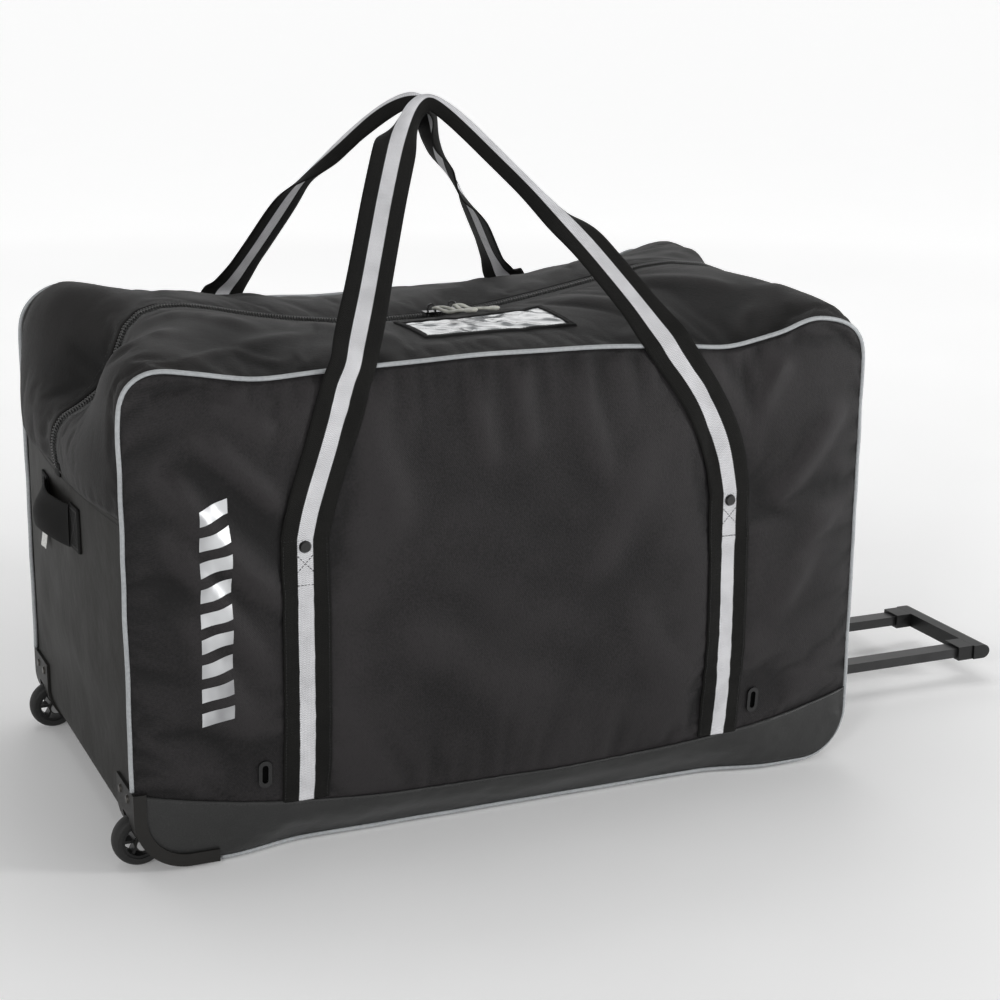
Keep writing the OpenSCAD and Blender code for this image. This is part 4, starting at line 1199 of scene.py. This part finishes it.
for word, at, reach, bow in (("left", -2.0, 60.0, 5.0), ("right", 24.0, 61.0, -3.0)):
    back_in = np.linspace(reach, 0, SIDE_POINTS)
    r = np.concatenate([back_in, back_in[::-1][1:]])
    which = np.concatenate([np.ones(SIDE_POINTS), -np.ones(SIDE_POINTS - 1)])
    half = 4.6 * smooth(r / 14) * (1 - 0.55 * smooth((r - reach + 12) / 12))
    off = which * half + bow * np.sin(math.pi * r / reach)
    x, y = at + PULL_X * r - PULL_Y * off, PULL_Y * r + PULL_X * off
    z = roof_or_zip(x, y + 1.0, at) + 1.1 * np.sin(r / reach * math.pi) + 0.5
    line = points(x, y, np.where(r < 2.5, zip_z(at) + 6.8, z))
    for _ in range(5):
        line = (np.roll(line, 1, 0) + 2 * line + np.roll(line, -1, 0)) / 4
    pull = tube("puller_" + word, line, 2.35, 10, closed=True, up=(0, 0, 1), flat=0.8)
    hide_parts("pull_" + word)
    dress(pull, "pale rubber", "pull_" + word)
    r = np.linspace(reach - 9, reach + 6, 9)
    x, y = at + PULL_X * r, PULL_Y * r
    thick = 5.6 * np.sqrt(np.clip(1 - (np.linspace(-1, 1, 9) * 0.98) ** 4, 0.05, 1))
    tip = points(x, y, roof_or_zip(x, y, at) + 0.4)
    knob = tube("puller_tip_" + word, tip, thick, 14, up=(0, 0, 1), flat=0.5)
    dress(knob, "pale rubber", "pull_" + word)

# ---------- hard parts straight from the CAD design ----------
HARD = [  # look, material slot, {node: radius of its edges in mm}
    ("black enamel", "rivet_metal", {"strap_rivets": 0.9}),
    ("black enamel", "black_metal", {"eyelets": 0.5}),
    ("gunmetal", "black_metal", {"slider_left": 0.5, "slider_right": 0.5}),
    ("rivet metal", "rivet_metal", {"guard_rivets": 0.7}),
    ("moulded guard", "guard_plastic", {"guard_front": 0.9, "guard_back": 0.9}),
    ("steel", "steel", {"wheel_axles": 0.5, "skid_screws": 0.4}),
    ("black plastic", "black_plastic", {
        "hub_front": 0.5, "hub_back": 0.5, "skid_runners": 1.5, "tow_anchor": 1.5, "tow_bezel": 2.0,
        "tow_grip": 1.6, "tow_sockets": 1.8,
    }),
    ("tyre rubber", "tyre", {"tyre_front": 0.6, "tyre_back": 0.6}),
    ("tube metal", "tube_metal", {"tow_tubes": 0.5}),
    ("anodised rod", "rod_metal", {"tow_rods": 1.6}),
    ("floor board", "board", {"floor_board": 0.5}),
    ("stiffener", "foam", {"floor_rails": 1.0}),
]
for look, slot_name, radii in HARD:
    for name, radius in radii.items():
        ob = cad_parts[name]
        ob.data.materials.clear()
        ob.data.materials.append(LOOK[look])
        edges = ob.modifiers.new("edges", "BEVEL")
        edges.width = radius * MM
        edges.segments = 3
        edges.limit_method = "ANGLE"
        edges.angle_limit = math.radians(40)
        edges.harden_normals = False
        ob.data.polygons.foreach_set("use_smooth", [True] * len(ob.data.polygons))
        ob.modifiers.new("shading", "WEIGHTED_NORMAL").keep_sharp = True

# ---------- floor, light and camera ----------
FLOOR = 45.0  # half its side, in metres
corners = [(-FLOOR, -FLOOR, 0), (FLOOR, -FLOOR, 0), (FLOOR, FLOOR, 0), (-FLOOR, FLOOR, 0)]
floor = bpy.data.objects.new("floor", bpy.data.meshes.new("floor"))
floor.data.from_pydata(corners, [], [(0, 1, 2, 3)])
bpy.context.scene.collection.objects.link(floor)
k = Look("floor", rough=0.65, spec=0.2)
k.colour(k.ramp(k.noise(k.place(), 3.0, 3.0), (0.3, 0.88), (0.7, 0.91)))
# a faint glow, stronger further out, lets the floor fade into the pale surroundings
reach = k.node("ShaderNodeVectorMath", out=1, props={"operation": "LENGTH"}, i0=k.place())
glow = k.ramp(k.mul(reach, 0.2), (0.1, 0.10), (0.3, 0.30), (0.9, 0.62))
k.tree.links.new(glow, k.shader.inputs["Emission Color"])
k.shader.inputs["Emission Strength"].default_value = 1.0
floor.data.materials.append(k.mat)

# pale surroundings, darker overhead
world = bpy.data.worlds.new("studio")
bpy.context.scene.world = world
world.use_nodes = True
tree = world.node_tree
sky = tree.nodes["Background"]
sky.inputs[1].default_value = 1.0
way = tree.nodes.new("ShaderNodeTexCoord")
height = tree.nodes.new("ShaderNodeSeparateXYZ")
shade = tree.nodes.new("ShaderNodeValToRGB")
for e, place, grey in ((0, 0.26, 0.88), (1, 0.62, 0.22)):
    shade.color_ramp.elements[e].position = place
    shade.color_ramp.elements[e].color = (grey, grey, grey, 1)
tree.links.new(way.outputs["Generated"], height.inputs[0])
tree.links.new(height.outputs[2], shade.inputs[0])
tree.links.new(shade.outputs[0], sky.inputs[0])


def softbox(name, at, to, size_x, size_y, power):
    light = bpy.data.lights.new(name, "AREA")
    light.shape = "RECTANGLE"
    light.size, light.size_y = size_x, size_y
    light.energy = power
    ob = bpy.data.objects.new(name, light)
    ob.location = at
    ob.rotation_mode = "QUATERNION"
    ob.rotation_quaternion = (Vector(to) - Vector(at)).to_track_quat("-Z", "Y")
    bpy.context.scene.collection.objects.link(ob)


softbox("overhead", (0.1, 0.6, 3.0), (0, 0, 0.3), 2.4, 1.6, 20)
softbox("key", (-2.1, -2.7, 1.5), (0, 0, 0.3), 0.5, 0.5, 25)
softbox("front", (2.9, -2.2, 1.3), (0, 0, 0.3), 0.6, 0.6, 46)
softbox("behind", (1.2, 2.8, 1.9), (0, 0, 0.4), 2.0, 1.2, 10)

# the photo's camera: angles in degrees, distance and target in metres, lens in mm
AZIMUTH, ELEVATION, ROLL = -23.8, 15.2, 0.6
DISTANCE, TARGET, LENS = 2.4289, (0.0853, 0, 0.2861), 74.1
azimuth, elevation = math.radians(AZIMUTH), math.radians(ELEVATION)
level = math.cos(elevation)
toward = Vector((math.sin(azimuth) * level, -math.cos(azimuth) * level, math.sin(elevation)))
camera = bpy.data.objects.new("camera", bpy.data.cameras.new("camera"))
bpy.context.scene.collection.objects.link(camera)
camera.data.sensor_width = 36
camera.data.lens = LENS
camera.data.clip_start, camera.data.clip_end = 0.05, 200
camera.location = Vector(TARGET) + toward * DISTANCE
camera.rotation_mode = "QUATERNION"
camera.rotation_quaternion = (-toward).to_track_quat("-Z", "Y")
camera.rotation_quaternion.rotate(Quaternion(toward, math.radians(ROLL)))
bpy.context.scene.camera = camera
bpy.context.scene.view_settings.view_transform = "Standard"
